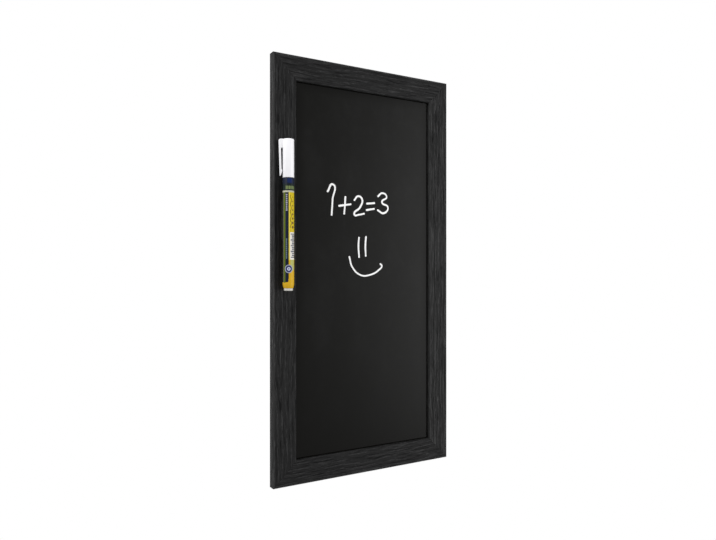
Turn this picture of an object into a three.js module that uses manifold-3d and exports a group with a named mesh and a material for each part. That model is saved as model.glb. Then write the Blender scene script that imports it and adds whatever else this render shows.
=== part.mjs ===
// A small wall chalkboard, 200 x 400 mm, with its chalk marker held on the left stile.
// Millimetres. X runs to the right, +Y into the wall and +Z up, so the writing face looks along -Y.
// The origin lies on the wall, under the middle notch of the hanger, where the wall nail bears.
import * as THREE from "three";
import { mergeVertices } from "three/addons/utils/BufferGeometryUtils.js";
import Module from "manifold-3d";

const wasm = await Module();
wasm.setup();

// Frame: four lengths of one moulding, mitred at the corners.
const boardWidth = 200;
const boardHeight = 400;
const faceWidth = 23.5; // from the outer edge to the opening
const frameDepth = 9;
const outerRound = 1.1; // round on the outer front edge
const innerRound = 0.8; // round on the front edge at the opening
const lipDepth = 3; // the lip that stands in front of the panel
const rabbetWidth = 6; // how far the lip covers the panel
const backEase = 0.5; // chamfer on the outer back edge
const mitreGap = 0.12; // open joint between two mitred ends

// Writing panel: a hardboard sheet lying in the rabbet.
const panelThickness = 3;
const panelEase = 0.4; // eased edge all round
const panelClearance = 0.7; // from the panel's edge to the rabbet wall
const seatGap = 0.05; // between flat faces that are pressed together

// Corner fasteners: V-shaped nails driven across each mitre from behind.
const vNailLeg = 4.5; // length of one leg
const vNailSheet = 0.6; // thickness of the steel
const vNailHeight = 5.5;
const vNailSpread = 62; // degrees from the mitre line to each leg
const vNailSet = 0.2; // how far it is sunk below the back
const vNailOuter = 10; // from the outer corner to the first nail, along the mitre
const vNailPitch = 7.5; // from the first nail to the second
const slotGap = 0.2; // clearance of a slot round the steel in it

// Retaining points: flat tabs driven into the rabbet wall behind the panel.
const pointWidth = 7;
const pointSheet = 0.6;
const pointReach = 8; // over the panel
const pointBite = 6; // into the wood
const pointTaper = 2.5; // length of the sharpened end
const pointsPerStile = 3;
const pointsPerRail = 2;

// Hanger: a sawtooth plate on the top rail, raised between two nailed ears.
const hangerLength = 44;
const hangerHeight = 9;
const hangerSheet = 0.9;
const hangerRaise = 1.5; // free space behind the raised part
const hangerEar = 8;
const hangerRamp = 2;
const hangerInset = 4; // from the board's top edge to the plate
const toothCount = 7; // notches, an odd number so that one is in the middle
const toothPitch = 3.2;
const toothTip = 0.6; // flat at the end of each tooth
const toothDepth = 1.8;
const nailShank = 1.4; // diameter
const nailLength = 6;
const nailPoint = 1.6; // length of the sharpened end
const nailHead = 3.6; // diameter
const nailHeadHeight = 0.8;
const nailFit = 0.15; // clearance of the hole round the shank

// Bumpers: rubber feet on the bottom rail that keep the board parallel to the wall.
const bumperDiameter = 10;
const bumperThickness = 3;
const bumperRound = 1;
const bumperInset = 20; // from the board's side to the bumper's middle

// Marker body: a tube with a coned tail and a neck for the cap. Heights run up from the tail.
const markerRise = 181.4; // from the board's bottom edge to the marker's tail
const markerShift = 0; // from the middle of the stile's face
const barrelDiameter = 10.4;
const barrelWall = 1;
const barrelLength = 100.45; // from the tail end to the shoulder
const tailTaper = 2.9; // length of the cone at the tail
const tailDiameter = 8.7;
const tailWall = 0.9;
const tailSeat = 5; // length of the narrow seat for the end plug
const neckDiameter = 8.2;
const neckLength = 8.2;
const neckWall = 0.8;
const snapRidge = 0.1; // height of the ring on the neck that holds the cap
const snapLength = 1.2;
const snapRise = 2.5; // from the shoulder to the ring's middle
const plugDiameter = 8.2;
const plugLip = 2.3; // the part of the end plug that shows
const plugRound = 0.5;
const plugFloor = 1.5;
const plugWall = 0.8;
const plugOverrun = 1; // how far the plug passes its seat
const pushFit = 0.1; // clearance between turned parts that are pushed together

// Nib section: the holder in the neck, and the nib that slides in it.
const flangeDiameter = 8;
const flangeHeight = 1.3;
const collarDiameter = 7.4;
const collarHeight = 3.2;
const mouthDiameter = 5.4;
const mouthTaper = 7.5; // length of the cone from the collar to the mouth
const holderSpigot = 13; // length of the holder inside the neck
const nibDiameter = 3.2;
const nibReach = 5.5; // out of the holder's mouth
const nibBullet = 2.6; // length of the rounded end
const nibTail = 5.2; // below the flange's top
const nibTravel = 2.5; // how far the nib presses in
const slideFit = 0.15; // clearance of a bore round what slides in it

// Valve: a seat ring, a sprung stem that the nib pushes off it, and the cage that holds both.
const chamberDiameter = 4.4; // round the stem, above the seat
const seatDiameter = 5;
const seatHeight = 1.6;
const seatHole = 2.6;
const stemDiameter = 1.8;
const stemTail = 3; // guide pin inside the spring
const poppetDiameter = 4.1;
const poppetHeight = 1.4;
const cageDiameter = 6.4;
const cageLength = 11;
const cageUpstand = 1; // rim that holds the seat up in the holder
const cageFloor = 1;
const cageInlet = 2.4; // hole in the floor for the ink
const windowCount = 4; // slots in the cage's wall
const windowWidth = 1.6;
const windowHeight = 5;
const springWire = 0.5;
const springDiameter = 3.3; // to the middle of the wire
const springTurns = 6;
const ballDiameter = 4; // mixing ball, loose in the ink

// Cap: a moulded shell with an inner sealing sleeve and a clip in one piece.
const capLength = 35.65;
const capGap = 0.25; // between the cap's mouth and the barrel's shoulder
const capWall = 0.9;
const capTopWall = 1.5;
const capRound = 0.9;
const capCrown = 0.5; // rise of the middle of the top
const sleeveBore = 6.7;
const sleeveWall = 0.7;
const sleeveGap = 0.25; // between the sleeve's end and the holder's cone
const clipTurn = 24.4; // degrees from the board's left towards the wall
const clipWidth = 4.2;
const clipBevel = 0.3;
const clipThickness = 1.9;
const clipStand = 3.65; // from the cap to the clip's outer face, at its root
const clipLean = 1; // how much nearer to the cap the tip is
const clipShoulder = 1.9; // round between the clip's top and its outer face
const clipRoot = 8.6; // from the cap's top to the slot behind the clip
const clipTipRise = 1.7; // from the cap's mouth to the clip's tip
const clipBumpRise = 6.4; // from the cap's mouth to the middle of the bump
const clipBumpLength = 2.6;
const clipPoint = 1; // width of the clip's tip
const clipBumpGap = 0.3; // between the bump and the cap

// Hook-and-loop patches that hold the marker: loops on the stile, hooks round the barrel's back.
const patchLength = 36;
const patchWidth = 8;
const patchRound = 1.5;
const patchRise = 46; // from the marker's tail to the patches' lower end
const loopThickness = 0.75;
const hookThickness = 0.6;
const patchGap = 0.1; // between the hooks and the loops
const glueGap = 0.05;

const roundSteps = 3; // facets of a small rounded edge
const turnSteps = 36; // facets round a turned piece
const smallSteps = 20; // facets round a small turned piece

// Places on the board.
const rad = THREE.MathUtils.degToRad;
const backPlane = -bumperThickness;
const frontPlane = backPlane - frameDepth;
const panelFront = frontPlane + lipDepth + seatGap;
const panelBack = panelFront + panelThickness;
const topEdge = hangerInset + hangerHeight - toothDepth;
const boardMiddle = topEdge - boardHeight / 2;
const backWidth = faceWidth - rabbetWidth; // width of the moulding behind the panel's edge
const earFace = backPlane + seatGap + hangerSheet; // the wall side of the hanger's ears

// Heights and radii in the marker.
const barrelRadius = barrelDiameter / 2;
const boreRadius = barrelRadius - barrelWall;
const tailBore = tailDiameter / 2 - tailWall;
const neckRadius = neckDiameter / 2;
const neckBore = neckRadius - neckWall;
const shoulder = plugLip + barrelLength;
const neckTop = shoulder + neckLength;
const holderBase = neckTop - holderSpigot;
const flangeTop = neckTop + seatGap + flangeHeight;
const collarTop = flangeTop + collarHeight;
const mouthTop = collarTop + mouthTaper;
const nibBottom = flangeTop - nibTail;
const chamberTop = nibBottom - nibTravel - 2 * slideFit;
const cageTop = holderBase - seatGap;
const cageBottom = cageTop - cageLength;
const cageBore = poppetDiameter / 2 + slideFit;
const seatRadius = seatDiameter / 2;
const seatBottom = cageTop + cageUpstand + seatGap;
const seatTop = seatBottom + seatHeight;
const poppetTop = seatBottom - seatGap;
const poppetBottom = poppetTop - poppetHeight;
const springFloor = cageBottom + cageFloor + pushFit;
const springTop = poppetBottom - pushFit;
const capMouth = shoulder + capGap;
const capTop = capMouth + capLength;
const markerStand = barrelRadius + glueGap + hookThickness + patchGap + loopThickness + glueGap;

// Colours and finishes.
const finish = (color, roughness, metalness = 0) =>
  new THREE.MeshStandardMaterial({ color, roughness, metalness });
const blackWood = finish("#2b2b2b", 0.6);
const chalkSurface = finish("#1f1f1f", 0.42);
const steel = finish("#b9bbbd", 0.35, 1);
const blackRubber = finish("#191919", 0.8);
const patchFabric = finish("#141414", 0.95);
const printedPlastic = finish("#e3c22e", 0.35);
const whitePlastic = finish("#f2f1f4", 0.35);
const greyRubber = finish("#55585c", 0.7);
const nibFelt = finish("#ededea", 0.9);

function namedMesh(name, geometry, material) {
  const mesh = new THREE.Mesh(geometry, material);
  mesh.name = name;
  return mesh;
}

// A closed geometry as a solid that can be cut and joined. Slivers at a turned piece's axis go.
function solidOf(geometry) {
  const bare = geometry.index ? geometry.toNonIndexed() : geometry.clone();
  bare.deleteAttribute("normal");
  bare.deleteAttribute("uv");
  const merged = mergeVertices(bare, 1e-4);
  const corners = merged.index.array;
  const kept = [];
  for (let i = 0; i < corners.length; i += 3) {
    const [a, b, c] = corners.slice(i, i + 3);
    if (a !== b && b !== c && c !== a) {
      kept.push(a, b, c);
    }
  }
  return new wasm.Manifold(
    new wasm.Mesh({
      numProp: 3,
      vertProperties: new Float32Array(merged.attributes.position.array),
      triVerts: new Uint32Array(kept),
    }),
  );
}

function geometryOf(solid) {
  const mesh = solid.getMesh();
  const indexed = new THREE.BufferGeometry();
  indexed.setAttribute("position", new THREE.BufferAttribute(new Float32Array(mesh.vertProperties), 3));
  indexed.setIndex(new THREE.BufferAttribute(new Uint32Array(mesh.triVerts), 1));
  const faceted = indexed.toNonIndexed();
  faceted.computeVertexNormals();
  return faceted;
}

function cutFrom(geometry, cutters) {
  return geometryOf(cutters.reduce((left, cutter) => left.subtract(solidOf(cutter)), solidOf(geometry)));
}

// A piece turned about the Y axis, from [radius, height] points taken anticlockwise.
function turnedOnY(points, steps = turnSteps) {
  const profile = points.map(([radius, height]) => new THREE.Vector2(radius, height));
  return new THREE.LatheGeometry(profile, steps);
}

// The same about the Z axis, and a ring, whose profile closes on itself.
const turned = (points, steps) => turnedOnY(points, steps).rotateX(Math.PI / 2);
const turnedRing = (points, steps) => turned([...points, points[0]], steps);

// Points of an arc between two angles, in degrees.
function arcPoints(centreX, centreY, radius, from, to, steps = roundSteps) {
  return Array.from({ length: steps + 1 }, (_, i) => {
    const angle = rad(from + ((to - from) * i) / steps);
    return [centreX + radius * Math.cos(angle), centreY + radius * Math.sin(angle)];
  });
}

const polygon = (points) => new THREE.Shape(points.map(([x, y]) => new THREE.Vector2(x, y)));

function extruded(shape, depth) {
  return new THREE.ExtrudeGeometry(shape, { depth, bevelEnabled: false, curveSegments: roundSteps });
}

// The moulding's section: x from the outer edge to the opening, y from the front to the back.
function mouldingSection() {
  const innerArc = faceWidth - innerRound;
  const shape = new THREE.Shape();
  shape.moveTo(backEase, frameDepth);
  shape.lineTo(0, frameDepth - backEase);
  shape.lineTo(0, outerRound);
  shape.absarc(outerRound, outerRound, outerRound, Math.PI, 1.5 * Math.PI, false);
  shape.lineTo(innerArc, 0);
  shape.absarc(innerArc, innerRound, innerRound, 1.5 * Math.PI, 2 * Math.PI, false);
  shape.lineTo(faceWidth, lipDepth);
  shape.lineTo(backWidth, lipDepth);
  shape.lineTo(backWidth, frameDepth);
  return shape;
}

// One length of moulding on the board's left, mitred: each corner of an end is drawn in along the
// length by its distance from the outer edge.
function mitredMoulding(run, span) {
  const geometry = extruded(mouldingSection(), 1);
  const position = geometry.attributes.position;
  for (let i = 0; i < position.count; i += 1) {
    const inward = position.getX(i);
    const end = position.getZ(i) > 0.5 ? 1 : -1;
    const along = end * (run / 2 - inward - mitreGap / Math.SQRT2);
    position.setXYZ(i, inward - span / 2, frontPlane + position.getY(i), along);
  }
  return geometry;
}

// A retaining point behind the panel, for the left side. x runs inwards from the rabbet wall.
function retainingPoint(grow = 0) {
  const half = pointWidth / 2 + grow;
  const tip = -pointBite - grow;
  const straight = pointReach - pointWidth / 2;
  const shape = new THREE.Shape();
  shape.moveTo(tip, 0);
  shape.lineTo(tip + pointTaper, -half);
  shape.lineTo(straight, -half);
  shape.absarc(straight, 0, half, -Math.PI / 2, Math.PI / 2, false);
  shape.lineTo(tip + pointTaper, half);
  return extruded(shape, pointSheet + 2 * grow)
    .rotateX(Math.PI / 2)
    .translate(0, panelBack + seatGap + pointSheet + grow, 0);
}

// A V-nail: two legs that open from a ridge on the mitre line towards the corner, at -x. A slot
// for it is wider by `grow` and runs out of the back by `open`.
function vNail(grow = 0, open = 0) {
  const angle = rad(vNailSpread);
  const half = vNailSheet / 2 + grow;
  const leg = vNailLeg + grow;
  const ridge = half / Math.sin(angle);
  const legEnd = (side) => [
    side * half * Math.sin(angle) - leg * Math.cos(angle),
    side * half * Math.cos(angle) + leg * Math.sin(angle),
  ];
  const mirrored = ([x, y]) => [x, -y];
  const [inside, outside] = [legEnd(1), legEnd(-1)];
  const outline = [[ridge, 0], inside, outside, [-ridge, 0], mirrored(outside), mirrored(inside)];
  return extruded(polygon(outline), vNailHeight + grow + open)
    .rotateX(Math.PI / 2)
    .translate(0, backPlane - vNailSet + open, 0);
}

// The four sides, each turned about the board's middle from the left one.
const stile = { run: boardHeight, span: boardWidth, points: pointsPerStile };
const rail = { run: boardWidth, span: boardHeight, points: pointsPerRail };
const sides = [
  { ...stile, node: "stile_left", label: "left", turn: 0 },
  { ...rail, node: "rail_top", label: "top", turn: 90 },
  { ...stile, node: "stile_right", label: "right", turn: 180 },
  { ...rail, node: "rail_bottom", label: "bottom", turn: 270 },
];

const corners = [
  { label: "top_left", sideX: -1, sideZ: 1 },
  { label: "top_right", sideX: 1, sideZ: 1 },
  { label: "bottom_left", sideX: -1, sideZ: -1 },
  { label: "bottom_right", sideX: 1, sideZ: -1 },
];

function vNailPlaces() {
  return corners.flatMap(({ label, sideX, sideZ }) =>
    ["outer", "inner"].map((rank, index) => {
      const inset = (vNailOuter + index * vNailPitch) / Math.SQRT2;
      return {
        name: `v_nail_${label}_${rank}`,
        x: sideX * (boardWidth / 2 - inset),
        z: sideZ * (boardHeight / 2 - inset),
        turn: Math.atan2(sideZ, -sideX),
      };
    }),
  );
}

function pointPlaces(side) {
  const opening = side.run - 2 * backWidth;
  return Array.from({ length: side.points }, (_, i) => ({
    name: `retaining_point_${side.label}_${i + 1}`,
    wall: side.span / 2 - backWidth,
    along: opening * ((i + 0.5) / side.points - 0.5),
    turn: rad(side.turn),
  }));
}

function hangerNailPlaces() {
  const x = (hangerLength - hangerEar) / 2;
  const z = boardHeight / 2 - hangerInset - hangerHeight / 2;
  return [
    { name: "hanger_nail_left", x: -x, z },
    { name: "hanger_nail_right", x, z },
  ];
}

const putPoint = (geometry, place) => geometry.translate(-place.wall, 0, place.along).rotateY(place.turn);
const putVNail = (geometry, place) => geometry.rotateY(place.turn).translate(place.x, 0, place.z);

// A round hole through the hanger's ear and on into the rail.
function nailHole(place) {
  const radius = nailShank / 2 + nailFit;
  const above = 2 * hangerSheet;
  const depth = nailLength + nailFit + above;
  return new THREE.CylinderGeometry(radius, radius, depth, smallSteps).translate(
    place.x,
    earFace + above - depth / 2,
    place.z,
  );
}

function frameMembers() {
  const slotOpen = vNailSet + slotGap;
  const vSlots = vNailPlaces().map((place) => putVNail(vNail(slotGap, slotOpen), place));
  const nailHoles = hangerNailPlaces().map(nailHole);
  return sides.map((side) => {
    const slits = pointPlaces(side).map((place) => putPoint(retainingPoint(slotGap), place));
    const moulding = mitredMoulding(side.run, side.span).rotateY(rad(side.turn));
    const cutters = [...vSlots, ...slits, ...(side.node === "rail_top" ? nailHoles : [])];
    return namedMesh(side.node, cutFrom(moulding, cutters), blackWood);
  });
}

function writingPanel() {
  const halfWidth = boardWidth / 2 - backWidth - panelClearance - panelEase;
  const halfHeight = boardHeight / 2 - backWidth - panelClearance - panelEase;
  const shape = polygon([
    [-halfWidth, -halfHeight],
    [halfWidth, -halfHeight],
    [halfWidth, halfHeight],
    [-halfWidth, halfHeight],
  ]);
  const geometry = new THREE.ExtrudeGeometry(shape, {
    depth: panelThickness - 2 * panelEase,
    bevelThickness: panelEase,
    bevelSize: panelEase,
    bevelSegments: 1,
  });
  geometry.rotateX(Math.PI / 2).translate(0, panelBack - panelEase, 0);
  return namedMesh("writing_panel", geometry, chalkSurface);
}

// The hanger: its bent section in plan, stood up, then holed and notched along its lower edge.
function sawtoothHanger() {
  const end = hangerLength / 2;
  const foot = end - hangerEar;
  const crest = foot - hangerRamp;
  const bend = (hangerSheet * (Math.hypot(hangerRamp, hangerRaise) - hangerRamp)) / hangerRaise;
  const rightHalf = [
    [crest, hangerRaise],
    [foot, 0],
    [end, 0],
    [end, hangerSheet],
    [foot + bend, hangerSheet],
    [crest + bend, hangerRaise + hangerSheet],
  ];
  const leftHalf = rightHalf.map(([x, y]) => [-x, y]).reverse();
  const lowerEdge = boardHeight / 2 - hangerInset - hangerHeight;
  const plate = extruded(polygon([...rightHalf, ...leftHalf]), hangerHeight).translate(
    0,
    backPlane + seatGap,
    lowerEdge,
  );
  const half = (toothPitch - toothTip) / 2;
  const notch = polygon([
    [-half, -toothTip],
    [half, -toothTip],
    [half, 0],
    [0, toothDepth],
    [-half, 0],
  ]);
  const notches = Array.from({ length: toothCount }, (_, i) =>
    extruded(notch, bumperThickness)
      .rotateX(Math.PI / 2)
      .translate(toothPitch * (i - (toothCount - 1) / 2), 0, lowerEdge),
  );
  const holes = hangerNailPlaces().map(nailHole);
  return namedMesh("sawtooth_hanger", cutFrom(plate, [...notches, ...holes]), steel);
}

function hangerNails() {
  const shank = nailShank / 2;
  const head = nailHead / 2;
  const profile = [
    [0, -nailLength],
    [shank, nailPoint - nailLength],
    [shank, 0],
    [head, 0],
    [head, nailHeadHeight / 2],
    [0.7 * head, nailHeadHeight],
    [0, nailHeadHeight],
  ];
  return hangerNailPlaces().map((place) =>
    namedMesh(
      place.name,
      turnedOnY(profile, smallSteps).translate(place.x, earFace + seatGap, place.z),
      steel,
    ),
  );
}

function wallBumpers() {
  const radius = bumperDiameter / 2;
  const profile = [
    [0, backPlane],
    [radius, backPlane],
    ...arcPoints(radius - bumperRound, -bumperRound, bumperRound, 0, 90),
    [0, 0],
  ];
  return [
    ["wall_bumper_left", -1],
    ["wall_bumper_right", 1],
  ].map(([name, side]) =>
    namedMesh(
      name,
      turnedOnY(profile).translate(
        side * (boardWidth / 2 - bumperInset),
        0,
        backWidth / 2 - boardHeight / 2,
      ),
      blackRubber,
    ),
  );
}

function markerBarrel() {
  const seatEnd = plugLip + tailSeat;
  const neckStep = shoulder - neckWall;
  const snapMiddle = shoulder + snapRise;
  const profile = [
    [tailBore, plugLip],
    [tailDiameter / 2, plugLip],
    [barrelRadius, plugLip + tailTaper],
    [barrelRadius, shoulder],
    [neckRadius, shoulder],
    [neckRadius, snapMiddle - snapLength / 2],
    [neckRadius + snapRidge, snapMiddle - snapLength / 6],
    [neckRadius + snapRidge, snapMiddle + snapLength / 6],
    [neckRadius, snapMiddle + snapLength / 2],
    [neckRadius, neckTop],
    [neckBore, neckTop],
    [neckBore, neckStep],
    [boreRadius, neckStep - (boreRadius - neckBore)],
    [boreRadius, seatEnd + (boreRadius - tailBore)],
    [tailBore, seatEnd],
  ];
  return namedMesh("marker_barrel", turnedRing(profile), printedPlastic);
}

function endPlug() {
  const radius = plugDiameter / 2;
  const spigot = tailBore - pushFit;
  const top = plugLip + tailSeat + plugOverrun;
  const profile = [
    [0, 0],
    ...arcPoints(radius - plugRound, plugRound, plugRound, -90, 0),
    [radius, plugLip - seatGap],
    [spigot, plugLip - seatGap],
    [spigot, top],
    [spigot - plugWall, top],
    [spigot - plugWall, plugFloor],
    [0, plugFloor],
  ];
  return namedMesh("end_plug", turned(profile), whitePlastic);
}

function nibHolder() {
  const spigot = neckBore - pushFit;
  const nibBore = nibDiameter / 2 + slideFit;
  const chamber = chamberDiameter / 2;
  const recess = seatRadius + pushFit;
  const profile = [
    [recess, holderBase],
    [spigot, holderBase],
    [spigot, neckTop + seatGap],
    [flangeDiameter / 2, neckTop + seatGap],
    [flangeDiameter / 2, flangeTop],
    [collarDiameter / 2, flangeTop],
    [collarDiameter / 2, collarTop],
    [mouthDiameter / 2, mouthTop],
    [nibBore, mouthTop],
    [nibBore, chamberTop],
    [chamber, chamberTop],
    [chamber, seatTop + seatGap],
    [recess, seatTop + seatGap],
  ];
  return namedMesh("nib_holder", turnedRing(profile), whitePlastic);
}

function writingNib() {
  const radius = nibDiameter / 2;
  const tip = mouthTop + nibReach;
  const bullet = Array.from({ length: 2 * roundSteps }, (_, i) => {
    const angle = (Math.PI / 2) * (i / (2 * roundSteps));
    return [radius * Math.cos(angle), tip - nibBullet * (1 - Math.sin(angle))];
  });
  const profile = [[0, nibBottom], [radius, nibBottom], ...bullet, [0, tip]];
  return namedMesh("writing_nib", turned(profile, smallSteps), nibFelt);
}

function valveStem() {
  const stem = stemDiameter / 2;
  const poppet = poppetDiameter / 2;
  const profile = [
    [0, poppetBottom - stemTail],
    [stem, poppetBottom - stemTail],
    [stem, poppetBottom],
    [poppet, poppetBottom],
    [poppet, poppetTop],
    [stem, poppetTop],
    [stem, nibBottom - seatGap],
    [0, nibBottom - seatGap],
  ];
  return namedMesh("valve_stem", turned(profile, smallSteps), whitePlastic);
}

function valveSeat() {
  const hole = seatHole / 2;
  const profile = [
    [hole, seatBottom],
    [seatRadius, seatBottom],
    [seatRadius, seatTop],
    [hole, seatTop],
  ];
  return namedMesh("valve_seat", turnedRing(profile, smallSteps), greyRubber);
}

function valveCage() {
  const outer = cageDiameter / 2;
  const floorTop = cageBottom + cageFloor;
  const profile = [
    [cageInlet / 2, cageBottom],
    [outer, cageBottom],
    [outer, cageTop],
    [seatRadius, cageTop],
    [seatRadius, cageTop + cageUpstand],
    [cageBore, cageTop + cageUpstand],
    [cageBore, floorTop],
    [cageInlet / 2, floorTop],
  ];
  const windows = Array.from({ length: windowCount }, (_, i) =>
    new THREE.BoxGeometry(outer, windowWidth, windowHeight)
      .translate(outer / 2 + cageBore / 2, 0, floorTop + windowHeight / 2 + cageFloor)
      .rotateZ((2 * Math.PI * (i + 0.5)) / windowCount),
  );
  return namedMesh("valve_cage", cutFrom(turnedRing(profile), windows), whitePlastic);
}

// The spring's wire is swept along a helix between the cage's floor and the stem's head.
class Helix extends THREE.Curve {
  getPoint(t, target = new THREE.Vector3()) {
    const angle = 2 * Math.PI * springTurns * t;
    const low = springFloor + springWire / 2;
    const high = springTop - springWire / 2;
    const radius = springDiameter / 2;
    return target.set(radius * Math.cos(angle), radius * Math.sin(angle), low + (high - low) * t);
  }
}

function valveSpring() {
  const section = polygon(arcPoints(0, 0, springWire / 2, 0, 300, 5));
  const geometry = new THREE.ExtrudeGeometry(section, {
    steps: 14 * springTurns,
    extrudePath: new Helix(),
    bevelEnabled: false,
  });
  return namedMesh("valve_spring", geometry, steel);
}

function mixingBall() {
  const radius = ballDiameter / 2;
  const middle = plugFloor + seatGap + radius;
  const profile = arcPoints(0, middle, radius, -90, 90, smallSteps / 2);
  profile[0][0] = 0;
  profile[profile.length - 1][0] = 0;
  return namedMesh("mixing_ball", turned(profile, smallSteps), steel);
}

// The clip in side view: x out from the marker's axis, y up. It leaves the cap level with its top,
// turns down in a round shoulder, leans in towards its tip, and has a bump that grips a pocket.
function clipOutline() {
  const weld = barrelRadius - capWall + clipBevel; // inside the cap's wall
  const outerTop = barrelRadius + clipStand;
  const shoulderEnd = capTop - capCrown - clipShoulder;
  const tip = capMouth + clipTipRise;
  const outerTip = outerTop - clipLean;
  const lean = (height) => (clipLean * (shoulderEnd - height)) / (shoulderEnd - tip);
  const innerFace = (height) => outerTop - clipThickness - lean(height);
  const slotTop = capTop - clipRoot;
  const slotRound = (innerFace(slotTop) - barrelRadius) / 2;
  const bumpMiddle = capMouth + clipBumpRise;
  const bumpHigh = bumpMiddle + clipBumpLength / 2;
  const bumpFace = barrelRadius + clipBumpGap;
  return polygon([
    [weld, slotTop - slotRound],
    ...arcPoints(barrelRadius + slotRound, slotTop - slotRound, slotRound, 180, 0, 2 * roundSteps),
    [innerFace(bumpHigh), bumpHigh],
    [bumpFace, bumpMiddle + clipBumpLength / 6],
    [bumpFace, bumpMiddle - clipBumpLength / 6],
    [outerTip - clipPoint, tip],
    [outerTip - clipPoint / 4, tip],
    [outerTip, tip + clipPoint / 2],
    ...arcPoints(outerTop - clipShoulder, shoulderEnd, clipShoulder, 0, 90, 2 * roundSteps),
    [weld, capTop - capCrown],
  ]);
}

function markerCap() {
  const bore = barrelRadius - capWall;
  const roof = capTop - capTopWall;
  const sleeve = sleeveBore / 2;
  const coneSlope = (collarDiameter - mouthDiameter) / 2 / mouthTaper;
  const sleeveEnd = collarTop + (collarDiameter / 2 - (sleeve - sleeveGap)) / coneSlope;
  const shell = turned([
    [0, roof],
    [sleeve, roof],
    [sleeve, sleeveEnd],
    [sleeve + sleeveWall, sleeveEnd],
    [sleeve + sleeveWall, roof],
    [bore, roof],
    [bore, capMouth],
    [barrelRadius, capMouth],
    ...arcPoints(barrelRadius - capRound, capTop - capCrown - capRound, capRound, 0, 90),
    [0, capTop],
  ]);
  const clip = new THREE.ExtrudeGeometry(clipOutline(), {
    depth: clipWidth - 2 * clipBevel,
    bevelThickness: clipBevel,
    bevelSize: clipBevel,
    bevelOffset: -clipBevel,
    bevelSegments: 2,
  });
  clip
    .rotateX(Math.PI / 2)
    .translate(0, clipWidth / 2 - clipBevel, 0)
    .rotateZ(rad(180 - clipTurn));
  return namedMesh("marker_cap", geometryOf(solidOf(shell).add(solidOf(clip))), whitePlastic);
}

// A band that lies round the back of the barrel, as wide as the patch on the stile.
function hookPatch() {
  const inner = barrelRadius + glueGap;
  const outer = inner + hookThickness;
  const reach = THREE.MathUtils.radToDeg(Math.asin(patchWidth / 2 / outer));
  const steps = 4 * roundSteps;
  const section = polygon([
    ...arcPoints(0, 0, outer, 90 - reach, 90 + reach, steps),
    ...arcPoints(0, 0, inner, 90 + reach, 90 - reach, steps),
  ]);
  return namedMesh("hook_patch", extruded(section, patchLength).translate(0, 0, patchRise), patchFabric);
}

function loopPatch() {
  const x = patchWidth / 2 - patchRound;
  const y = patchLength / 2 - patchRound;
  const shape = polygon([
    ...arcPoints(x, y, patchRound, 0, 90),
    ...arcPoints(-x, y, patchRound, 90, 180),
    ...arcPoints(-x, -y, patchRound, 180, 270),
    ...arcPoints(x, -y, patchRound, 270, 360),
  ]);
  const geometry = extruded(shape, loopThickness)
    .rotateX(Math.PI / 2)
    .translate(
      (faceWidth - boardWidth) / 2 + markerShift,
      frontPlane - glueGap,
      markerRise + patchRise + patchLength / 2 - boardHeight / 2,
    );
  return namedMesh("loop_patch", geometry, patchFabric);
}

const vNails = vNailPlaces().map((place) => namedMesh(place.name, putVNail(vNail(), place), steel));
const retainingPoints = sides
  .flatMap(pointPlaces)
  .map((place) => namedMesh(place.name, putPoint(retainingPoint(), place), steel));

const board = new THREE.Group();
board.position.set(0, 0, boardMiddle);
board.add(
  ...frameMembers(),
  writingPanel(),
  ...vNails,
  ...retainingPoints,
  sawtoothHanger(),
  ...hangerNails(),
  ...wallBumpers(),
  loopPatch(),
);

const marker = new THREE.Group();
marker.position.set(
  (faceWidth - boardWidth) / 2 + markerShift,
  frontPlane - markerStand,
  boardMiddle - boardHeight / 2 + markerRise,
);
marker.add(
  markerBarrel(),
  endPlug(),
  nibHolder(),
  writingNib(),
  valveStem(),
  valveSeat(),
  valveCage(),
  valveSpring(),
  mixingBall(),
  markerCap(),
  hookPatch(),
);

const chalkboard = new THREE.Group();
chalkboard.add(board, marker);

export default chalkboard;
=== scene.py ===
"""The looks of a small wall chalkboard with its chalk marker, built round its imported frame."""

import math

import bmesh
import bpy
from bpy.props import FloatProperty, FloatVectorProperty, IntProperty, PointerProperty
from mathutils import Matrix, Vector, noise


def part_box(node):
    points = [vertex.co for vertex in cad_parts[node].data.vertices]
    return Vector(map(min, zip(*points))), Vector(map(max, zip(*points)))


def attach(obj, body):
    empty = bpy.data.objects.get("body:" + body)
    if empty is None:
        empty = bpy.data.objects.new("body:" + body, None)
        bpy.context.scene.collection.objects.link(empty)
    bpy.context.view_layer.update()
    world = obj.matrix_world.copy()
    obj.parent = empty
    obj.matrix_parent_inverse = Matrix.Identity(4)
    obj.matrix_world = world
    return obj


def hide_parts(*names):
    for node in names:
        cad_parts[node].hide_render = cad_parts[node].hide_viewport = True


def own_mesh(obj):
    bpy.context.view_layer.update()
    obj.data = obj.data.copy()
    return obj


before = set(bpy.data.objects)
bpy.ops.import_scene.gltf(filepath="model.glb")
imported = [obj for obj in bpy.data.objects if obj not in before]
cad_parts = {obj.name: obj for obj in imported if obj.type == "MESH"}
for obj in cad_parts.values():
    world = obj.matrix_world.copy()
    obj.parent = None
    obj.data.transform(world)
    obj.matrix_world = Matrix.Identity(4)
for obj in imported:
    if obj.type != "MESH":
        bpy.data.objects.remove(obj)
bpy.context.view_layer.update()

bl_info = {
    "name": "Wall Chalkboard",
    "version": (1, 0, 0),
    "blender": (4, 5, 0),
    "location": "View3D > Sidebar > Chalkboard",
    "description": "Models and finishes a small framed chalkboard with its marker",
    "category": "Add Mesh",
}

MM = 0.001
IMAGE_WIDTH = 716  # pixels across the photograph's frame
MERGED = 0.001 * MM  # points closer together than this become one

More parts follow.
